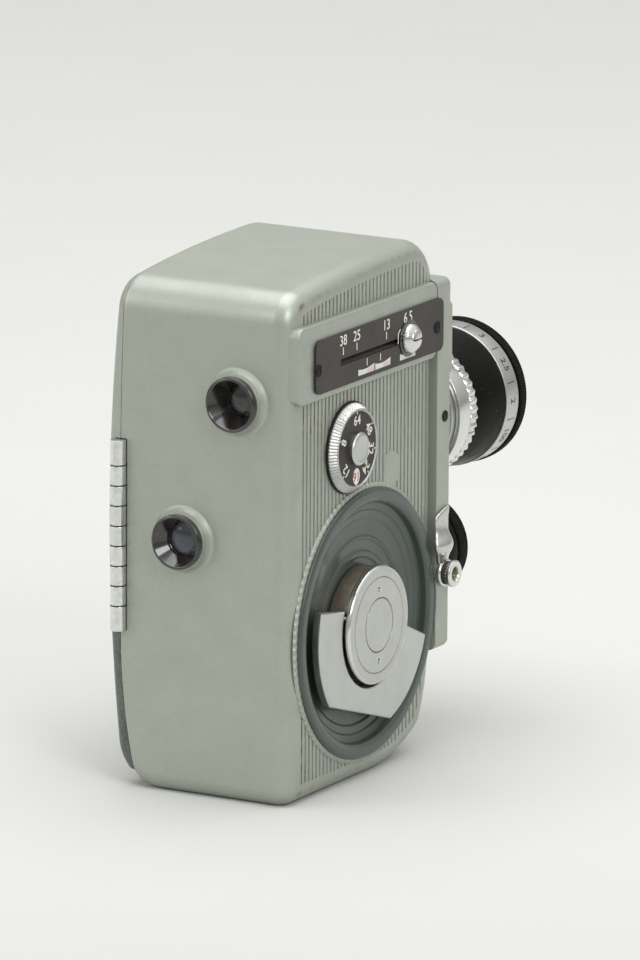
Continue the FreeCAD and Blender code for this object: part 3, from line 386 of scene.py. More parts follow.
def stain_mask(m):
    """brown dirt that sits in the grooves of the right side, most above and below the pad"""
    x, y, z = m.axes()
    groove = m.calc("MULTIPLY", m.between(x, 25.4, 25.8, 0.12), m.between(y, -31.4, 33.0))
    blots = m.span(m.noise(3.2, 5.0, None, 0.65), 0.44, 0.64)
    low, high = span("scale_plate")
    above = m.between(z, high.z + 3.5, high.z + 9.0, 1.5)
    below = m.between(z, low.z - 12.0, low.z - 1.5, 3.0)
    rear = m.span(y, 8.0 * MM, -26.0 * MM, 0.15, 1.0)
    foot = m.between(z, 2.0, 40.0, 6.0)
    hind = m.between(y, -34.0, -26.0, 3.0)
    places = m.calc("MULTIPLY", m.calc("ADD", above, below), rear)
    places = m.calc("ADD", places, m.calc("MULTIPLY", foot, hind))
    everywhere = m.calc("ADD", m.calc("MULTIPLY", places, 0.9), 0.25)
    return m.calc("MULTIPLY", m.calc("MULTIPLY", groove, blots), everywhere)


def enamel(name, colour, rough=0.3, coat=0.5, wear=0.25, shine=0.5, rounded=True):
    """smooth glossy enamel or lacquer with dust specks and rubbed corners"""
    m = Recipe(name)
    bevel, worn = m.edge(0.2)
    cloud = m.noise(5.0, 4.0)
    speck = m.span(m.noise(0.5, 2.0), 0.7, 0.76)
    base = m.mix(m.span(cloud, 0.3, 0.8, 0.0, 0.35), colour, scaled(colour, 1.5))
    base = m.mix(m.calc("MULTIPLY", speck, 0.25), base, rgb(170, 168, 158))
    rubbed = m.calc("MULTIPLY", worn, m.span(m.noise(1.6, 4.0), 0.45, 0.7, 0.0, wear))
    base = m.mix(rubbed, base, rgb(150, 150, 145))
    gloss = m.span(cloud, 0.3, 0.7, rough - 0.06, rough + 0.1)
    bumps = [(m.noise(0.7, 2.0), 0.006), (m.rings(0.35), 0.004)]
    return m.done(base, 0.0, gloss, bumps, bevel if rounded else None, Coat_Weight=coat,
                  Coat_Roughness=0.12, Specular_IOR_Level=shine)


def metal(name, colour, rough, grime=0.2, grain=None, ring=0.01, soften=0.18):
    """bare or plated metal: tool marks, hairline scratches, and dirt that gathers in corners"""
    m = Recipe(name)
    bevel, corner = m.edge(soften)
    cloud = m.noise(4.0, 4.0)
    hair = m.noise(0.05, 3.0, grain or (1, 1, 9))
    dirt = m.calc("MULTIPLY", m.span(m.noise(1.1, 5.0, None, 0.65), 0.5, 0.75), grime)
    base = m.mix(m.span(hair, 0.35, 0.7, 0.0, 0.25), colour, scaled(colour, 0.8))
    base = m.mix(m.calc("MULTIPLY", dirt, m.span(corner, 0.0, 1.0, 0.35, 1.0)), base, rgb(104, 86, 58))
    gloss = m.span(cloud, 0.3, 0.7, rough * 0.85, rough * 1.25)
    gloss = m.calc("ADD", gloss, m.calc("MULTIPLY", dirt, 0.3))
    bumps = [(hair, 0.0025), (m.rings(0.12), ring)]
    return m.done(base, 1.0, gloss, bumps, bevel)


def hinge_metal(name):
    """chrome with the dark joints between the hinge's knuckles"""
    low, high = span("hinge_pin")
    end = 6.2
    pitch = (high.z - low.z - 2 * end) / 7
    m = Recipe(name)
    bevel = m.edge(0.2)[0]
    z = m.axes()[2]
    turns = m.calc("DIVIDE", m.calc("SUBTRACT", z, (low.z + end - pitch / 2) * MM), pitch * MM)
    off = m.calc("ABSOLUTE", m.calc("SUBTRACT", m.calc("FRACT", turns), 0.5))
    joint = m.calc("MULTIPLY", m.span(off, 0.05, 0.02), m.between(z, low.z + 5.0, high.z - 5.0))
    cloud = m.span(m.noise(1.4, 4.0), 0.4, 0.75, 0.0, 0.4)
    base = m.mix(cloud, rgb(226, 227, 225), rgb(176, 176, 172))
    base = m.mix(joint, base, rgb(30, 29, 27))
    gloss = m.calc("ADD", m.span(cloud, 0.0, 0.4, 0.08, 0.22), m.calc("MULTIPLY", joint, 0.4))
    height = m.calc("SUBTRACT", 1.0, joint)
    return m.done(base, 1.0, gloss, [(height, 0.05), (m.noise(0.4, 2.0), 0.004)], bevel)


def ink(name, colour, rough=0.5):
    """filled-in paint of numerals and index marks, a little uneven"""
    m = Recipe(name)
    base = m.mix(m.span(m.noise(0.4, 3.0), 0.35, 0.75, 0.0, 0.5), colour, scaled(colour, 0.7))
    return m.done(base, 0.0, rough, [(m.noise(0.2, 2.0), 0.01)])


def optic(name, tint, coating):
    """coated glass: clear, with a faint coloured reflection and a trace of dust"""
    m = Recipe(name)
    dust = m.span(m.noise(0.6, 3.0), 0.6, 0.8, 0.0, 0.06)
    base = m.mix(dust, tint, rgb(200, 200, 196))
    gloss = m.span(dust, 0.0, 0.06, 0.02, 0.2)
    return m.done(base, 0.0, gloss, [], None, Transmission_Weight=0.85, IOR=1.52, Coat_Weight=0.6,
                  Coat_Tint=coating, Coat_Roughness=0.03)


BODY_COLOUR = rgb(170, 175, 165)
DARK_COLOUR = rgb(62, 68, 64)
LOOKS = {
    "body": paint("body_paint", BODY_COLOUR, stains=True, interior=True),
    "door": paint("door_paint", BODY_COLOUR, rgb(70, 76, 72), split=57.0, interior=True),
    "plate": paint("front_paint", BODY_COLOUR),
    "panel": paint("panel_paint", DARK_COLOUR, metallic=0.3, rough=0.45),
    "dish": enamel("dish_enamel", rgb(58, 67, 62), 0.34, 0.35),
    "scale": enamel("scale_lacquer", rgb(50, 45, 42), 0.42, 0.1, 0.15, 0.3),
    "dial_black": enamel("dial_lacquer", rgb(44, 39, 36), 0.45, 0.1, 0.1, 0.3),
    "gloss": enamel("polished_black", rgb(20, 17, 15), 0.12, 1.0, 0.1),
    "anodised": enamel("anodised_black", rgb(10, 10, 9), 0.36, 0.0, 0.2, 0.08),
    "spool": enamel("spool_lacquer", rgb(30, 30, 32), 0.3, 0.5, 0.5),
    "chrome": metal("chrome", rgb(222, 223, 220), 0.1, 0.25, None, 0.004),
    "silver": metal("satin_silver", rgb(196, 198, 195), 0.3, 0.2, None, 0.012),
    "hinge": hinge_metal("hinge_chrome"),
    "neck": metal("greasy_neck", rgb(150, 140, 124), 0.42, 0.95, None, 0.01),
    "satin_chrome": metal("satin_chrome", rgb(206, 207, 204), 0.22, 0.3, None, 0.006),
    "brushed": metal("brushed_silver", rgb(200, 202, 199), 0.34, 0.15, (1, 12, 1.5), 0.01),
    "steel": metal("plain_steel", rgb(165, 165, 163), 0.28, 0.35),
    "brass": metal("turned_brass", rgb(196, 160, 92), 0.26, 0.35),
    "blackened": metal("blackened_steel", rgb(52, 52, 52), 0.4, 0.2),
    "white": ink("white_ink", rgb(232, 230, 222)),
    "field": ink("field_ink", rgb(216, 215, 209)),
    "pink": ink("pink_ink", rgb(212, 192, 184)),
    "red": ink("red_ink", rgb(176, 62, 52)),
    "black_ink": ink("black_ink", rgb(30, 30, 30)),
    "dirt": ink("old_grease", rgb(120, 96, 60), 0.8),
    "rust": ink("rusty_collar", rgb(70, 56, 46), 0.75),
    "glass": optic("coated_glass", (0.9, 0.95, 1.0, 1.0), (0.8, 0.82, 1.0, 1.0)),
    "lens_glass": optic("lens_glass", (0.16, 0.18, 0.27, 1.0), (0.78, 0.6, 1.0, 1.0)),
    "dark_glass": enamel("deep_glass", rgb(9, 9, 10), 0.06, 1.0, 0.0, rounded=False),
    "blue_glass": enamel("sight_glass", rgb(36, 44, 56), 0.05, 1.0, 0.0, rounded=False),
}

# CAD nodes whose own shape is shown, by look
KEPT = {
    "body": ("body_shell",),
    "door": ("door_shell",),
    "plate": ("front_plate", "finder_window_block"),
    "panel": ("door_panel",),
    "scale": ("scale_plate",),
    "blackened": ("scale_plate_screws", "front_plate_screw", "mechanism_plate", "focus_tube", "shutter"),
    "hinge": ("hinge_body_leaf", "hinge_door_leaf"),
    "chrome": ("latch_knob", "turret_pivot_screw", "tripod_bush"),
    "steel": ("hinge_pin", "spool_springs", "handle_pivot_pins", "plate_screws", "gate_plate",
              "pressure_plate", "film_guide_posts", "claw", "supply_spindle", "takeup_spindle",
              "mainspring", "finder_rail"),
    "brushed": ("wind_handle", "turret_plate"),
    "silver": ("hub_cap",),
    "spool": ("supply_spool", "takeup_spool"),
    "brass": ("zoom_carriage", "train_bridge", "spring_barrel", "drive_arbor", "governor_arbor"),
    "glass": ("finder_front_lens", "zoom_lens"),
    "lens_glass": ("tele_front_lens", "standard_front_lens"),
    "dark_glass": ("finder_eyepiece_lens",),
    "blue_glass": ("focus_eyepiece_lens",),
}


def dress_cad():
    for look, nodes in KEPT.items():
        for node in nodes:
            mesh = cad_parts[node].data
            mesh.materials.clear()
            mesh.materials.append(LOOKS[look])


# ---- dish and key hub -------------------------------------------------------------------
def winding_dish():
    part = Round("wind_dish", "x")
    r, top = part.r, part.high
    profile = [
        (3.2, 22.9), (31.2, 22.9), (31.2, 26.02), (r, 26.02), (r, top - 0.55), (r - 0.35, top - 0.2),
        (r - 1.0, top), (r - 2.5, top - 0.02), (r - 3.2, top - 0.2), (r - 3.7, top - 0.65),
        (r - 3.85, top - 2.3), (r - 5.6, top - 2.55), (r - 5.9, top - 2.95), (r - 7.7, top - 3.15),
        (r - 8.1, top - 3.45), (r - 12.0, top - 3.62), (r - 12.3, top - 3.35), (r - 12.9, top - 3.4),
        (r - 13.1, top - 3.68), (r - 15.6, top - 3.74), (r - 15.9, top - 3.4), (r - 17.2, top - 3.42),
        (r - 17.5, top - 3.78), (3.2, top - 3.78),
    ]
    dish = lathe("winding_dish", part, soft(profile, 0.22), LOOKS["dish"], "camera_body", 240)
    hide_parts("wind_dish")
    land = [(r + 0.03, 25.9), (r + 1.15, 25.9), (r + 1.1, 26.25), (r + 0.6, 26.6), (r + 0.03, 26.6)]
    lathe("dish_land", part, soft(land, 0.08), LOOKS["plate"], "camera_body", 840,
          knurl(105, 0.45, 26.0, 27.0, 1.4))


def winding_hub():
    part = Round("wind_hub", "x")
    cap = Round("hub_cap", "x")
    r, top = part.r, part.high
    profile = [
        (0, part.low), (2.0, part.low), (2.0, 7.0), (3.0, 7.0), (3.0, 23.9), (r - 0.9, 23.9),
        (r - 0.9, top - 2.4), (r - 0.5, top - 2.1), (r, top - 2.0), (r, top - 0.4),
        (r - 0.4, top), (cap.r + 0.02, top), (cap.r + 0.02, top - 0.8), (0, top - 0.8),
    ]
    hub = lathe("winding_hub", part, soft(profile, 0.12), LOOKS["silver"], "winding_key", 200)
    rim = [(r - 0.5, top - 1.85), (r + 0.03, top - 1.85), (r + 0.03, top - 0.42), (r - 0.42, top + 0.02),
           (r - 0.62, top + 0.02), (r - 0.62, top - 0.3)]
    lathe("hub_rim", part, soft(rim, 0.1), LOOKS["chrome"], "winding_key", 200)
    neck = [(r - 1.0, 23.92), (r - 0.6, 23.92), (r - 0.55, 24.3), (r - 0.6, top - 2.5),
            (r - 0.7, top - 2.3), (r - 1.0, top - 2.3)]
    lathe("hub_neck", part, soft(neck, 0.08), LOOKS["neck"], "winding_key", 160)
    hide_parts("wind_hub")
    for name, at in (("outer", cap.r), ("inner", 6.6)):
        groove = [(at - 0.13, top - 0.12), (at + 0.13, top - 0.12), (at + 0.13, top - 0.04),
                  (at - 0.13, top - 0.04)]
        lathe("hub_groove_" + name, part, groove, LOOKS["dirt"], "winding_key", 160)
    for name, z in (("upper", 8.8), ("lower", -8.8)):
        centre = part.centre + Vector((0, 0, z))
        eye = Round("hub_cap", "x", centre)
        ring = [(0.62, top - 0.25), (1.0, top - 0.25), (1.0, top + 0.07), (0.85, top + 0.1), (0.62, top)]
        lathe("hub_pin_hole_" + name, eye, soft(ring, 0.04), LOOKS["chrome"], "winding_key", 40)


# ---- dial, scale plate and slider -------------------------------------------------------
DIAL_MARKS = (("64", 0), ("48", 56), ("32", 100), ("24", 141), ("16", 182), ("12", 228), ("8", 292))


def speed_dial():
    part = Round("speed_dial", "x")
    r, top = part.r, part.high
    low = part.high - 2.6
    under = [(1.45, part.low), (1.45, low + 0.02), (r, low + 0.02), (r, low + 0.45), (r - 0.2, low + 0.6),
             (1.4, low + 0.6), (0, low + 0.6), (0, part.low)]
    lathe("dial_base", part, soft(under, 0.08), LOOKS["blackened"], "speed_selector", 120)
    rim = r - 1.95
    cone = [(r - 0.35, low + 0.62), (r - 0.2, low + 0.85), (rim + 0.4, top - 0.14), (rim + 0.22, top),
            (rim + 0.06, top - 0.02), (rim, top - 0.2), (rim, low + 0.62)]
    ring = lathe("dial_cone", part, soft(cone, 0.1), LOOKS["silver"], "speed_selector", 640,
                 knurl(84, 0.3, low + 0.75, top - 0.2, 0.8))
    face = [(0, low + 0.7), (rim - 0.02, low + 0.7), (rim - 0.02, top - 0.28), (0, top - 0.28)]
    lathe("dial_face", part, face, LOOKS["dial_black"], "speed_selector", 120)
    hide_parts("speed_dial")
    x = top - 0.28
    for text, angle in DIAL_MARKS:
        look = "white"
        if text == "16":
            turns = [t * math.tau / 40 for t in range(40)]
            spot = [(1.6 * math.cos(t), 2.0 * math.sin(t)) for t in turns]
            sheet("dial_spot", [spot], 0.02, around_x(part, 6.75, angle, x), LOOKS["white"],
                  "speed_selector")
            look = "red"
        glyphs("dial_" + text, text, 2.3, 0.02, around_x(part, 6.75, angle, x + 0.02), LOOKS[look],
               "speed_selector", 0.03)
        sheet("dial_tick_" + text, [bar(0.28, 0.7)], 0.03, around_x(part, 8.65, angle, x), LOOKS["white"],
              "speed_selector")


def dial_knob():
    part = Round("speed_dial_knob", "x")
    r, low, top = part.r, part.low, part.high
    waist = r - 0.25
    profile = [
        (0, low), (waist, low), (waist, low + 0.9), (r, low + 1.15), (r, top - 0.55),
        (r - 0.35, top - 0.12), (r - 0.8, top), (r - 1.1, top - 0.02), (r - 1.25, top - 0.12),
        (0, top - 0.05),
    ]
    knob = lathe("dial_knob", part, soft(profile, 0.1), LOOKS["brushed"], "speed_selector", 96)
    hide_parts("speed_dial_knob")


def sagging(width, height, sag, lift):
    """a bar whose upper edge is hollow and rises towards its forward end"""
    steps = 12
    top = []
    for i in range(steps + 1):
        t = i / steps
        top.append((width * (0.5 - t), height / 2 - sag * 4 * t * (1 - t) + lift * (1 - t) ** 2))
    return [(-width / 2, -height / 2), (width / 2, -height / 2)] + top


def scale_marks():
    """focal lengths, ticks and field blocks printed on the scale plate"""
    high = span("scale_plate")[1]
    knob = Round("zoom_knob", "x")
    slot_z = knob.centre.z
    wide = knob.centre.y
    x = high.x
    body, white = "camera_body", LOOKS["white"]
    top = high.z - 1.9
    for text, back in (("38", 31.7), ("25", 25.2), ("13", 10.85), ("6.5", 0.3)):
        glyphs("scale_" + text.replace(".", "_"), text, 2.5, 0.03, right_side(wide - back, top, x), white,
               body, 0.015)
        if text != "6.5":
            sheet("scale_tick_" + text, [bar(0.32, 1.8)], 0.03, right_side(wide - back, slot_z + 2.6, x),
                  white, body)
    for name, back in (("a", 20.2), ("b", 13.7)):
        sheet("scale_low_tick_" + name, [bar(0.28, 1.7)], 0.03, right_side(wide - back, slot_z - 2.1, x),
              white, body)
    for name, start, end in (("a", 24.4, 16.7), ("b", 16.2, 8.9), ("c", 4.2, -3.3)):
        length = start - end
        place = right_side(wide - (start + end) / 2, slot_z - 4.05, x)
        sheet("scale_block_" + name, [sagging(length, 1.5, 0.38, 0.35)], 0.03, place, LOOKS["field"],
              body)
        if name != "c":
            tone = [(0.3, -0.74), (length / 2 - 0.1, -0.74), (length / 2 - 0.1, 0.5), (0.3, 0.2)]
            sheet("scale_tone_" + name, [tone], 0.045, place, LOOKS["pink"], body)
    hook = [(-5.25, -0.6), (-4.95, -0.6), (-4.95, 1.9), (-3.9, 2.8), (-4.1, 3.0), (-5.25, 2.05)]
    sheet("scale_hook", [hook], 0.03, right_side(wide, slot_z, x), white, body)
    dial = Round("speed_dial", "x")
    place = right_side(dial.centre.y - 0.5, dial.centre.z + 12.6, 26.0)
    sheet("speed_index", [bar(0.5, 1.7)], 0.06, place, LOOKS["red"], body)


def zoom_knob():
    part = Round("zoom_knob", "x")
    top = part.high
    profile = [
        (0, part.low), (0.75, part.low), (0.75, 28.62), (3.7, 28.62), (3.75, 28.8), (3.75, top - 2.2),
        (3.45, top - 1.5), (2.6, top - 0.75), (2.45, top - 0.68), (2.3, top - 0.45), (1.5, top - 0.12),
        (0, top),
    ]
    knob = lathe("zoom_button", part, soft(profile, 0.12), LOOKS["chrome"], "zoom_slider", 120,
                 knurl(26, 0.12, 28.4, top - 2.1, 2.0))
    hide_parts("zoom_knob")
    disc = [(0.76, 28.37), (part.r - 0.05, 28.37), (part.r, 28.5), (part.r - 0.1, 28.6), (0.76, 28.6)]
    lathe("zoom_button_base", part, soft(disc, 0.03), LOOKS["gloss"], "zoom_slider", 96)
    place = right_side(part.centre.y, part.centre.z, top - 0.04)
    sheet("zoom_button_slit", [bar(4.6, 0.4)], 0.03, place, LOOKS["black_ink"], "zoom_slider")


# ---- eyepieces ---------------------------------------------------------------------------
def eyepiece(node, throat, seat):
    part = Round(node, "y")
    back, r = part.low, part.r
    profile = [
        (5.6, part.high), (5.6, back + 1.62), (r, back + 1.6), (r, back + 0.5), (r - 0.12, back + 0.25),
        (r - 0.5, back), (r - 0.75, back + 0.05), (r - 0.95, back + 0.3), (throat + 0.5, seat - 0.5),
        (throat + 0.15, seat), (throat + 0.05, seat + 0.1), (throat + 0.05, part.high),
    ]
    ring = lathe(node + "_cup", part, soft(profile, 0.08), LOOKS["gloss"], "camera_body", 160)
    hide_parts(node)


# ---- lenses --------------------------------------------------------------------------------
def barrel_scale(part, prefix, radius, s, body, marks, tick, height, ink_look="black_ink",
                 start=0.0, arc=360.0):
    """numbers and ticks engraved round a ring, or round an arc of it"""
    for i, text in enumerate(marks):
        angle = start + arc * i / len(marks)
        glyphs("%s_mark_%d" % (prefix, i), text, height, 0.02, on_barrel(part, radius, angle, s),
               LOOKS[ink_look], body, 0.02)
        sheet("%s_tick_%d" % (prefix, i), [bar(0.22, tick)], 0.02,
              on_barrel(part, radius, angle + arc / 2 / len(marks), s), LOOKS[ink_look], body)


def long_lens():
    collar = Round("tele_mount", "y")
    ring = Round("tele_aperture_ring", "y", collar.centre)
    cone = Round("tele_outer_barrel", "y", collar.centre)
    rim = Round("tele_focus_ring", "y", collar.centre)
    mount = [
        (6.0, 40.35), (7.9, 40.35), (7.9, 43.4), (11.4, 43.4), (11.4, 45.6), (12.2, 46.2),
        (12.2, 48.0), (11.9, 48.2), (11.9, 48.6), (12.2, 48.8), (12.2, 54.0), (15.0, 56.6),
        (15.4, 57.4), (15.4, 61.6), (14.7, 61.7), (14.7, 62.1), (15.4, 62.2), (15.4, 64.2),
        (14.2, 64.2), (14.2, 84.0), (13.2, 84.0), (13.2, 60.0), (10.2, 54.0), (6.0, 48.0),
    ]
    base = lathe("long_lens_mount", collar, soft(mount, 0.12), LOOKS["silver"], "turret", 200)
    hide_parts("tele_mount")
    bore = 14.25
    fluted = [
        (bore, 64.3), (16.5, 64.3), (16.6, 64.4), (16.6, 69.5), (16.5, 69.65), (16.45, 69.9),
        (16.9, 70.3), (16.9, 72.8), (16.75, 73.0), (bore, 73.0),
    ]
    turned = lathe("long_lens_aperture_ring", ring, soft(fluted, 0.1), LOOKS["chrome"],
                   "tele_aperture", 768, knurl(48, 0.42, 69.95, 73.0, 1.0))
    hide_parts("tele_aperture_ring")
    stops = ("1.9", "2.8", "4", "5.6", "8", "11", "16", "22")
    barrel_scale(ring, "aperture", 16.6, 67.0, "tele_aperture", stops, 1.6, 1.9,
                 start=95.0, arc=150.0)
    shell = [(14.25, 73.1), (16.2, 73.1), (16.4, 73.25), (17.55, 85.55), (17.45, 85.8), (15.5, 85.8),
             (15.5, 90.0), (14.25, 90.0)]
    barrel = lathe("long_lens_barrel", cone, soft(shell, 0.1), LOOKS["anodised"], "turret", 200)
    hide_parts("tele_outer_barrel")
    r, front = rim.r, rim.high
    bore = 15.54
    scale = [(bore, 85.95), (17.7, 85.95), (17.85, 86.1), (17.9, 91.7), (17.8, 91.85), (bore, 91.85)]
    lathe("long_lens_scale_ring", rim, soft(scale, 0.08), LOOKS["silver"], "tele_focus", 200)
    grip = [
        (bore, 91.86), (17.3, 91.86), (17.3, front - 3.0), (17.9, front - 2.95), (r, front - 2.6),
        (r, front - 0.4), (r - 0.3, front), (r - 1.1, front), (r - 1.4, front - 0.25),
        (r - 2.2, front - 0.7), (r - 2.4, front - 0.6), (r - 3.5, front - 1.7), (14.62, 93.2),
        (14.62, 90.1), (bore, 90.1),
    ]
    focus = lathe("long_lens_rim", rim, soft(grip, 0.08), LOOKS["anodised"], "tele_focus", 960,
                  knurl(160, 0.28, front - 2.75, front - 0.35))
    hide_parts("tele_focus_ring")
    distances = ("2", "2.5", "3", "4", "5", "7", "10", "15", "20", "30", "50", "100")
    barrel_scale(rim, "distance", 17.89, 88.9, "tele_focus", distances, 3.4, 2.1)


def standard_lens():
    mount = Round("standard_mount", "y")
    ring = Round("standard_aperture_ring", "y", mount.centre)
    rim = Round("standard_focus_ring", "y", mount.centre)
    tube = [
        (6.0, 40.35), (7.9, 40.35), (7.9, 43.4), (9.8, 43.4), (9.8, 48.0), (9.5, 48.2),
        (9.5, 48.7), (9.8, 48.9), (9.8, 58.0), (11.1, 59.5), (11.1, 59.9), (9.0, 59.9),
        (9.0, 72.0), (7.6, 72.0), (7.6, 56.0), (6.0, 50.0),
    ]
    base = lathe("standard_lens_mount", mount, soft(tube, 0.12), LOOKS["silver"], "turret", 160)
    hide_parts("standard_mount")
    bore = 9.05
    fluted = [(bore, 60.0), (11.5, 60.0), (11.9, 60.4), (11.9, 65.9), (11.6, 66.3), (bore, 66.3)]
    grip = lathe("standard_aperture_grip", ring, soft(fluted, 0.1), LOOKS["anodised"],
                 "standard_aperture", 576, knurl(36, 0.7, 60.6, 66.4, 1.6))
    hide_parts("standard_aperture_ring")
    r, front = rim.r, rim.high
    band = [(bore, 66.4), (11.85, 66.4), (12.0, 66.55), (12.0, 67.3), (11.9, 67.45), (bore, 67.45)]
    lathe("standard_lens_band", rim, soft(band, 0.08), LOOKS["chrome"], "standard_focus", 160)
    body = [
        (bore, 67.46), (11.8, 67.46), (12.15, 67.8), (12.25, 71.6), (12.1, 71.75), (11.7, 71.8),
        (11.7, 72.35), (12.2, 72.4), (r, 72.8), (r, front - 0.35), (r - 0.3, front), (r - 0.9, front),
        (r - 1.15, front - 0.25), (r - 1.9, front - 0.9), (r - 2.1, front - 0.8), (8.45, 73.8),
        (8.45, 72.05), (bore, 72.05),
    ]
    focus = lathe("standard_lens_rim", rim, soft(body, 0.08), LOOKS["anodised"], "standard_focus", 840,
                  knurl(140, 0.24, 72.7, front - 0.3))
    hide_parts("standard_focus_ring")
    barrel_scale(rim, "near", 12.2, 69.7, "standard_focus", ("1", "1.5", "2", "3", "5", "10"), 2.4, 1.6,
                 "white", 85.0, 160.0)


# ---- release lever and cable socket ----------------------------------------------------
def release_lever():
    """a thumb blade above a rounded bulb, drawn down to the ring round the socket"""
    socket = Round("release_socket", "x")
    y0, z0 = socket.centre.y, socket.centre.z
    inner = span("release_lever")[0].x
    # height above the socket, middle and half width along Y, thickness, roundness of the section
    sections = (
        (2.2, -0.7, 2.3, 1.1, 0.8), (3.4, -1.0, 2.3, 1.25, 0.7), (4.8, -1.4, 2.7, 1.9, 0.9),
        (6.0, -1.8, 3.7, 2.7, 1.0), (7.4, -2.0, 4.2, 3.0, 1.0), (8.8, -2.0, 3.8, 2.4, 0.9),
        (10.2, -1.9, 3.0, 1.5, 0.6), (11.8, -1.8, 2.8, 1.1, 0.4), (13.6, -1.6, 3.1, 1.0, 0.35),
        (15.2, -1.3, 3.5, 0.95, 0.35), (15.9, -0.9, 3.0, 0.8, 0.35),
    )
    bm = bmesh.new()
    steps = 24
    rings = []
    for lift, middle, half, thick, roundness in sections:
        ring = []
        for j in range(steps):
            a = math.tau * j / steps
            c, s = math.cos(a), math.sin(a)
            power = 0.35 + 0.65 * roundness
            u = math.copysign(abs(c) ** power, c) * half
            v = (math.copysign(abs(s) ** power, s) * 0.5 + 0.5) * thick
            slant = 0.28 * u if lift > 12 else 0.0
            ring.append(bm.verts.new(Vector((inner + v, y0 + middle + u, z0 + lift + slant)) * MM))
        rings.append(ring)
    for one, two in zip(rings, rings[1:]):
        for j in range(steps):
            k = (j + 1) % steps
            bm.faces.new((one[j], one[k], two[k], two[j]))
    bm.faces.new(rings[0][::-1])
    bm.faces.new(rings[-1])
    blade = finish_mesh(bm, "release_blade", LOOKS["satin_chrome"], "release", 60)
    subdivide = blade.modifiers.new("round", "SUBSURF")
    subdivide.levels = subdivide.render_levels = 2
    profile = [(2.39, inner), (3.5, inner), (3.5, inner + 0.9), (3.2, inner + 1.25), (2.39, inner + 1.25)]
    lathe("release_eye", socket, soft(profile, 0.15), LOOKS["chrome"], "release", 80)
    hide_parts("release_lever")


def cable_socket():
    part = Round("release_socket", "x")
    top = part.high
    profile = [
        (0, part.low), (2.0, part.low), (2.0, 27.66), (2.33, 27.66), (2.33, top - 1.45),
        (2.05, top - 1.3), (2.05, top - 1.1), (3.0, top - 1.02), (3.3, top - 0.85), (3.3, top - 0.3),
        (3.0, top), (2.3, top), (1.9, top - 0.05), (1.72, top - 0.3), (1.72, part.low + 2.4),
        (0, part.low + 2.4),
    ]
    bush = lathe("cable_socket", part, profile, LOOKS["chrome"], "camera_body", 120)
    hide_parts("release_socket")
    thread = [(1.73, top - 0.32)]
    for i in range(10):
        at = top - 0.4 - 0.5 * i
        thread += [(1.66, at), (1.5, at - 0.25)]
    thread += [(1.5, part.low + 2.42), (1.73, part.low + 2.42)]
    lathe("socket_thread", part, thread, LOOKS["neck"], "camera_body", 96)
    collar = [(2.36, 29.02), (2.85, 29.02), (2.9, 29.15), (2.85, 29.45), (2.36, 29.5)]
    lathe("socket_collar", part, soft(collar, 0.06), LOOKS["rust"], "camera_body", 80)
    neck = [(2.06, 29.55), (2.75, 29.55), (2.8, 29.65), (2.8, top - 1.12), (2.06, top - 1.12)]
    lathe("socket_neck", part, soft(neck, 0.05), LOOKS["steel"], "camera_body", 240,
          knurl(24, 0.2, 29.5, 31.0))


# ---- run ------------------------------------------------------------------------------------
def camera():
    """the photo's view: long lens, from behind and to the right, a little above"""
    lens_mm, distance = 379.2, 2428.9
    azimuth, elevation, roll = math.radians(29.62), math.radians(12.85), math.radians(0.33)
    middle, aside, above = Vector((0, -1, 63)), 12.52, 7.42
    level = Vector((math.sin(azimuth), -math.cos(azimuth), 0))
    back = level * math.cos(elevation) + Vector((0, 0, math.sin(elevation)))
    right = (-back).cross(Vector((0, 0, 1))).normalized()
    up = right.cross(-back)
    tilt = Matrix.Rotation(roll, 3, back)
    right, up = tilt @ right, tilt @ up
    spot = (middle + back * distance + right * aside + up * above) * MM
    data = bpy.data.cameras.new("camera")
    data.lens = lens_mm
    data.sensor_width = 36.0
    data.sensor_fit = "AUTO"
    data.clip_end = 50.0
    view = bpy.data.objects.new("camera", data)
    turn = Matrix((right, up, back)).transposed()
    view.matrix_world = Matrix.Translation(spot) @ turn.to_4x4()
    bpy.context.collection.objects.link(view)
    bpy.context.scene.camera = view


def area_light(name, place, target, size, watts, colour=(1, 1, 1)):
    data = bpy.data.lights.new(name, "AREA")
    data.shape = "RECTANGLE"
    data.size, data.size_y = size
    data.energy = watts
    data.color = colour
    lamp = bpy.data.objects.new(name, data)
    lamp.location = place
    lamp.rotation_euler = (Vector(target) - Vector(place)).to_track_quat("-Z", "Y").to_euler()
    bpy.context.collection.objects.link(lamp)


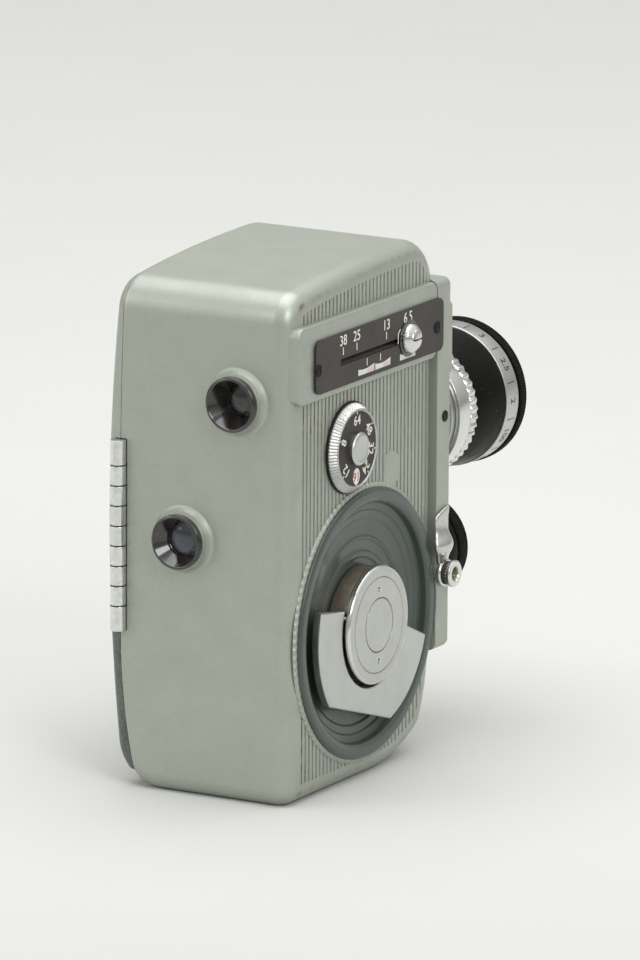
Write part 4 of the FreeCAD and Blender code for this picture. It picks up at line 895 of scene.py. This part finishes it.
def studio():
    facing = math.radians(29.6)
    m = Recipe("backdrop_paper")
    x, y = m.axes()[:2]
    depth = m.calc("SUBTRACT", m.calc("MULTIPLY", y, math.cos(facing)),
                   m.calc("MULTIPLY", x, math.sin(facing)))
    clouds = m.span(m.noise(60.0, 3.0), 0.3, 0.7, 0.0, 0.4)
    tone = m.mix(clouds, rgb(201, 202, 199), rgb(197, 198, 195))
    # painted shade and painted light: the paper is painted darker towards the camera and lighter towards
    # the far wall, a falloff laid over what the lamps give
    tone = m.mix(m.span(depth, 0.0, -0.25), tone, rgb(188, 189, 186))
    tone = m.mix(m.span(depth, 0.6, 2.2), tone, rgb(210, 211, 208))
    # seen from behind or below, the backdrop is clear, so that it never hides the camera
    back = m.add("ShaderNodeNewGeometry").outputs["Backfacing"]
    front = m.calc("SUBTRACT", 1.0, back)
    paper = m.done(tone, 0.0, 0.9, [(m.noise(1.5, 2.0), 0.01)], Alpha=front)
    bm = bmesh.new()
    half, rise, bend = 3.0, 2.6, 0.9
    reach = 2.2
    line = [(-half, 0.0), (reach, 0.0)]
    for a in range(10, 91, 10):
        turn = math.radians(a)
        line.append((reach + bend * math.sin(turn), bend - bend * math.cos(turn)))
    line.append((reach + bend, rise))
    away = Vector((-math.sin(facing), math.cos(facing), 0))
    side = Vector((math.cos(facing), math.sin(facing), 0))
    rows = []
    for d, z in line:
        rows.append([bm.verts.new(away * d + side * s + Vector((0, 0, z))) for s in (-half, half)])
    for one, two in zip(rows, rows[1:]):
        bm.faces.new((one[0], one[1], two[1], two[0]))
    mesh = bpy.data.meshes.new("floor")
    for face in bm.faces:
        face.smooth = True
    bm.to_mesh(mesh)
    bm.free()
    mesh.materials.append(paper)
    floor = bpy.data.objects.new("floor", mesh)
    bpy.context.collection.objects.link(floor)
    world = bpy.data.worlds.new("studio")
    bpy.context.scene.world = world
    world.use_nodes = True
    tree = world.node_tree
    sky = tree.nodes["Background"]
    direction = tree.nodes.new("ShaderNodeTexCoord")
    height = tree.nodes.new("ShaderNodeSeparateXYZ")
    ramp = tree.nodes.new("ShaderNodeMapRange")
    tree.links.new(direction.outputs["Generated"], height.inputs[0])
    tree.links.new(height.outputs["Z"], ramp.inputs["Value"])
    for key, value in (("From Min", -0.1), ("From Max", 0.6), ("To Min", 0.3), ("To Max", 1.0)):
        ramp.inputs[key].default_value = value
    tree.links.new(ramp.outputs[0], sky.inputs[1])
    sky.inputs[0].default_value = (0.9, 0.895, 0.88, 1)
    aim = (0, 0, 0.06)
    area_light("overhead", (0.0, 0.1, 1.1), aim, (1.1, 1.1), 9.0)
    area_light("key", (1.0, -0.7, 0.8), aim, (0.5, 0.6), 5.4)
    area_light("fill", (-1.0, -0.9, 0.6), aim, (0.8, 0.8), 3.3)
    area_light("backdrop_light", (-0.5, 0.9, 1.9), (-1.2, 2.6, 0.6), (1.2, 0.5), 8.0)
    bpy.context.scene.view_settings.view_transform = "Standard"


dress_cad()
winding_dish()
winding_hub()
speed_dial()
dial_knob()
scale_marks()
zoom_knob()
eyepiece("finder_eyepiece", 2.7, -35.6)
eyepiece("focus_eyepiece", 3.2, -36.9)
long_lens()
standard_lens()
release_lever()
cable_socket()
studio()
camera()
